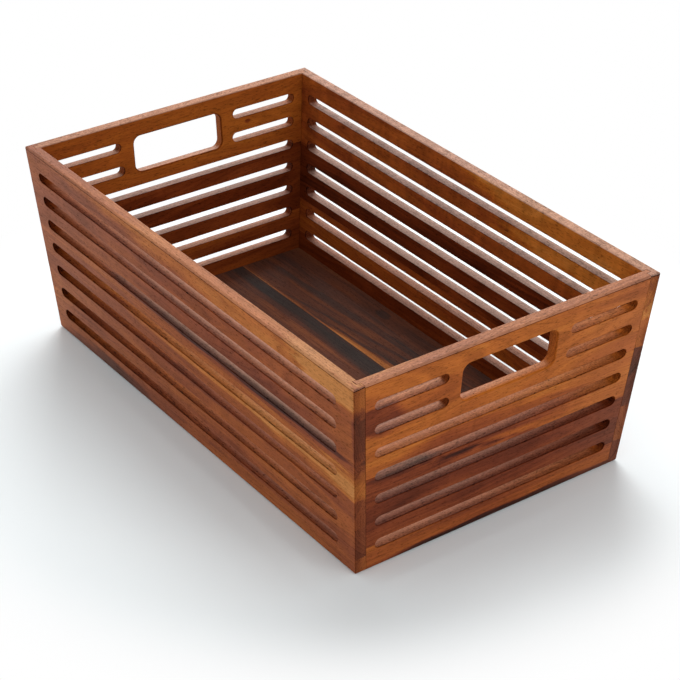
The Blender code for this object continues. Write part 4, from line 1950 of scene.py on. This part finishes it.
RIGHT_BOARDS = (
    Board(label="rim_board", slot="reddish_wood", timber=Timber(
        level=0.57, contrast=0.17, pith_depth=30.0, pith_inset=-80.0, taper=0.03, seed=2.2,
        end_dark=0.18, curl=3.4,
        wear_and_light=replace(FAR_WEAR_AND_LIGHT, ledge_shading=(-0.20, -0.06), ledge_sheen=0.38, end_sheen=0.03),
        stains=(
            Stain(-150.0, 14.0, 120.0, 32.0, 0.34, -0.06),
            Stain(-242.0, 54.0, 9.0, 28.0, 0.32),
        ),
    )),
    Board(label="upper_board", slot="dark_wood", timber=Timber(
        level=0.34, contrast=0.22, pith_depth=140.0, pith_inset=-60.0, taper=0.02, seed=8.4,
        end_dark=0.07,
        wear_and_light=replace(FAR_WEAR_AND_LIGHT, pale_and_lit=(0.80, 0.80), ledge_shading=(-0.27, -0.27), ledge_sheen=0.26, end_sheen=0.05),
    )),
    Board(label="lower_board", slot="golden_wood", timber=Timber(
        level=0.53, contrast=0.26, pith_depth=90.0, pith_inset=-90.0, taper=0.03, seed=5.9,
        end_dark=-0.14,
        wear_and_light=replace(FAR_WEAR_AND_LIGHT, end_sheen=0.06),
    )),
    Board(label="base_board", slot="dark_wood", timber=Timber(
        level=0.42, contrast=0.24, pith_depth=210.0, pith_inset=-70.0, taper=0.02, seed=4.6,
        end_dark=0.22,
        wear_and_light=replace(FAR_WEAR_AND_LIGHT, pale_and_lit=(0.54, 0.54), end_sheen=0.05),
    )),
)
FRONT_BOARDS = (
    Board(label="rim_board", slot="golden_wood", timber=Timber(
        level=0.70, contrast=0.24, pith_depth=28.0, pith_inset=70.0, taper=0.05, seed=6.3,
        wear_and_light=replace(FRONT_WEAR_AND_LIGHT, pale_and_lit=(0.16, 0.50), ledge_sheen=0.06, hole=1.0),
        stains=(
            Stain(-100.0, 8.0, 70.0, 12.0, 0.14),
            Stain(-124.0, 37.0, 24.0, 13.0, -0.32, 0.1),
        ),
    )),
    Board(label="upper_board", slot="golden_wood", timber=Timber(
        level=0.70, contrast=0.26, pith_depth=150.0, pith_inset=60.0, taper=0.03, seed=2.9,
        wear_and_light=FRONT_WEAR_AND_LIGHT,
        stains=(
            Stain(-110.0, 108.0, 160.0, 18.0, -0.36, 0.10),
            Stain(-8.0, 88.0, 100.0, 14.0, -0.22, 0.04),
            Stain(-95.0, 92.0, 32.0, 6.0, -0.12),
        ),
    )),
    Board(label="lower_board", slot="reddish_wood", timber=Timber(
        level=0.33, contrast=0.20, pith_depth=100.0, pith_inset=90.0, taper=0.02, seed=1.8,
        wear_and_light=replace(FRONT_WEAR_AND_LIGHT, pale_and_lit=(0.06, 0.30), ledge_shading=(0.16, -0.28)),
        stains=(
            Stain(110.0, 122.0, 60.0, 10.0, 0.08),
        ),
    )),
    Board(label="base_board", slot="orange_wood", timber=Timber(
        level=0.59, contrast=0.24, pith_depth=230.0, pith_inset=60.0, taper=0.02, seed=7.7,
        wear_and_light=FRONT_WEAR_AND_LIGHT,
        stains=(
            Stain(40.0, 178.5, 150.0, 4.0, -0.40),
        ),
    )),
)
BACK_BOARDS = (
    Board(label="rim_board", slot="golden_wood", timber=Timber(
        level=0.68, contrast=0.22, pith_depth=28.0, pith_inset=-70.0, taper=0.04, seed=5.1,
        wear_and_light=replace(FAR_WEAR_AND_LIGHT, pale_and_lit=(0.70, 0.70), ledge_shading=(-0.14, -0.20), ledge_sheen=0.12, rim_sheen=0.0),
        stains=(
            Stain(-75.0, 32.0, 4.0, 2.5, -0.35),
        ),
    )),
    Board(label="middle_board", slot="dark_wood", timber=Timber(
        level=0.37, contrast=0.22, pith_depth=130.0, pith_inset=-90.0, taper=0.02, seed=3.3,
        wear_and_light=replace(FAR_WEAR_AND_LIGHT, ledge_shading=(-0.14, -0.26), ledge_sheen=0.28),
    )),
    Board(label="base_board", slot="orange_wood", timber=Timber(
        level=0.56, contrast=0.24, pith_depth=210.0, pith_inset=-70.0, taper=0.02, seed=6.6,
        wear_and_light=replace(FAR_WEAR_AND_LIGHT, pale_and_lit=(0.66, 0.66)),
    )),
)
FLOOR_WOOD = OiledWood(
    tones=(
        (0.00, "272221"), (0.10, "31231f"), (0.20, "40231a"), (0.35, "5f2f18"), (0.55, "84471f"),
        (0.75, "a3602a"), (0.90, "b26e31"), (1.00, "ba783a"),
    ),
    band=replace(OiledWood.band, size=(17.0, 420.0)),
    streak=replace(OiledWood.streak, size=(3.4, 260.0)),
)
FLOOR_WEAR_AND_LIGHT = WearAndLight(rim=0.03, rim_sheen=0.028)
FLOOR_BOARDS = (
    Board(label="floor_board_1", slot="floor_wood", timber=Timber(
        level=0.16, contrast=0.24, pith_depth=-260.0, pith_inset=180.0, taper=0.02, seed=2.6,
        wear_and_light=FLOOR_WEAR_AND_LIGHT,
    )),
    Board(label="floor_board_2", slot="floor_wood", timber=Timber(
        level=0.19, contrast=0.22, pith_depth=-220.0, pith_inset=150.0, taper=0.02, seed=4.1,
        wear_and_light=FLOOR_WEAR_AND_LIGHT,
    )),
    Board(label="floor_board_3", slot="floor_wood", timber=Timber(
        level=0.18, contrast=0.30, pith_depth=-260.0, pith_inset=160.0, taper=0.02, seed=5.4,
        wear_and_light=FLOOR_WEAR_AND_LIGHT,
        stains=(
            Stain(0.0, -50.0, 260.0, 6.0, -0.10),
            Stain(-90.0, -38.0, 90.0, 3.0, 0.08),
        ),
    )),
    Board(label="floor_board_4", slot="floor_wood", timber=Timber(
        level=0.30, contrast=0.22, pith_depth=-240.0, pith_inset=170.0, taper=0.02, seed=1.1,
        wear_and_light=FLOOR_WEAR_AND_LIGHT,
        stains=(
            Stain(-92.0, -89.0, 170.0, 5.0, -0.15, -0.06),
            Stain(-42.0, -77.0, 120.0, 1.8, -0.13, -0.13),
            Stain(-20.0, -68.0, 110.0, 2.4, -0.15, -0.09),
            Stain(20.0, -61.0, 105.0, 6.5, 0.42, -0.03),
            Stain(-115.0, -59.6, 110.0, 1.3, 0.22),
            Stain(-67.0, -114.0, 9.0, 5.0, -0.13),
        ),
    )),
)
FLOOR_SEAMS = (-0.067, -0.004, 0.059)


def main() -> None:
    """Builds the crate's boards, dresses them and sets the studio round them."""
    logging.basicConfig(level=logging.INFO, format="%(name)s: %(message)s")
    for item in list(bpy.data.objects):
        bpy.data.objects.remove(item, do_unlink=True)
    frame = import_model()
    sizes = CrateSizes()
    walls = (
        Wall(name="left_side", kind=WallKind.SIDE, outward=(0, -1), seams=(3.5, -2.0, -0.65),
             boards=LEFT_BOARDS, shadowed_end=-1, sizes=sizes, slot_shift=-sizes.left_slot_shift),
        Wall(name="right_side", kind=WallKind.SIDE, outward=(0, 1), seams=(3.0, -2.5, -1.0),
             boards=RIGHT_BOARDS, shadowed_end=1, sizes=sizes),
        Wall(name="front_end", kind=WallKind.END, outward=(1, 0), seams=(3.0, -3.0, -1.0),
             boards=FRONT_BOARDS, shadowed_end=1, sizes=sizes, tongue_gaps=(0.0009, 0.0004)),
        Wall(name="back_end", kind=WallKind.END, outward=(-1, 0), seams=(3.0, -2.0),
             boards=BACK_BOARDS, shadowed_end=-1, sizes=sizes),
    )
    for name, node in frame["nodes"].items():
        node.name = name + "_cad"
    crate = Crate(walls=walls, floor=FLOOR_BOARDS, floor_seams=FLOOR_SEAMS, sizes=sizes,
                  dresser=Dresser(OiledWood(), sizes.measures()),
                  floor_dresser=Dresser(FLOOR_WOOD, sizes.measures()))
    for item in crate.build_walls() + crate.build_floor():
        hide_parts(item.name)
        LOG.info("%s: %d faces", item.name, len(item.data.polygons))
    studio = Studio()
    studio.pale_floor()
    studio.light()
    studio.place_camera()


if __name__ == "__main__":
    main()
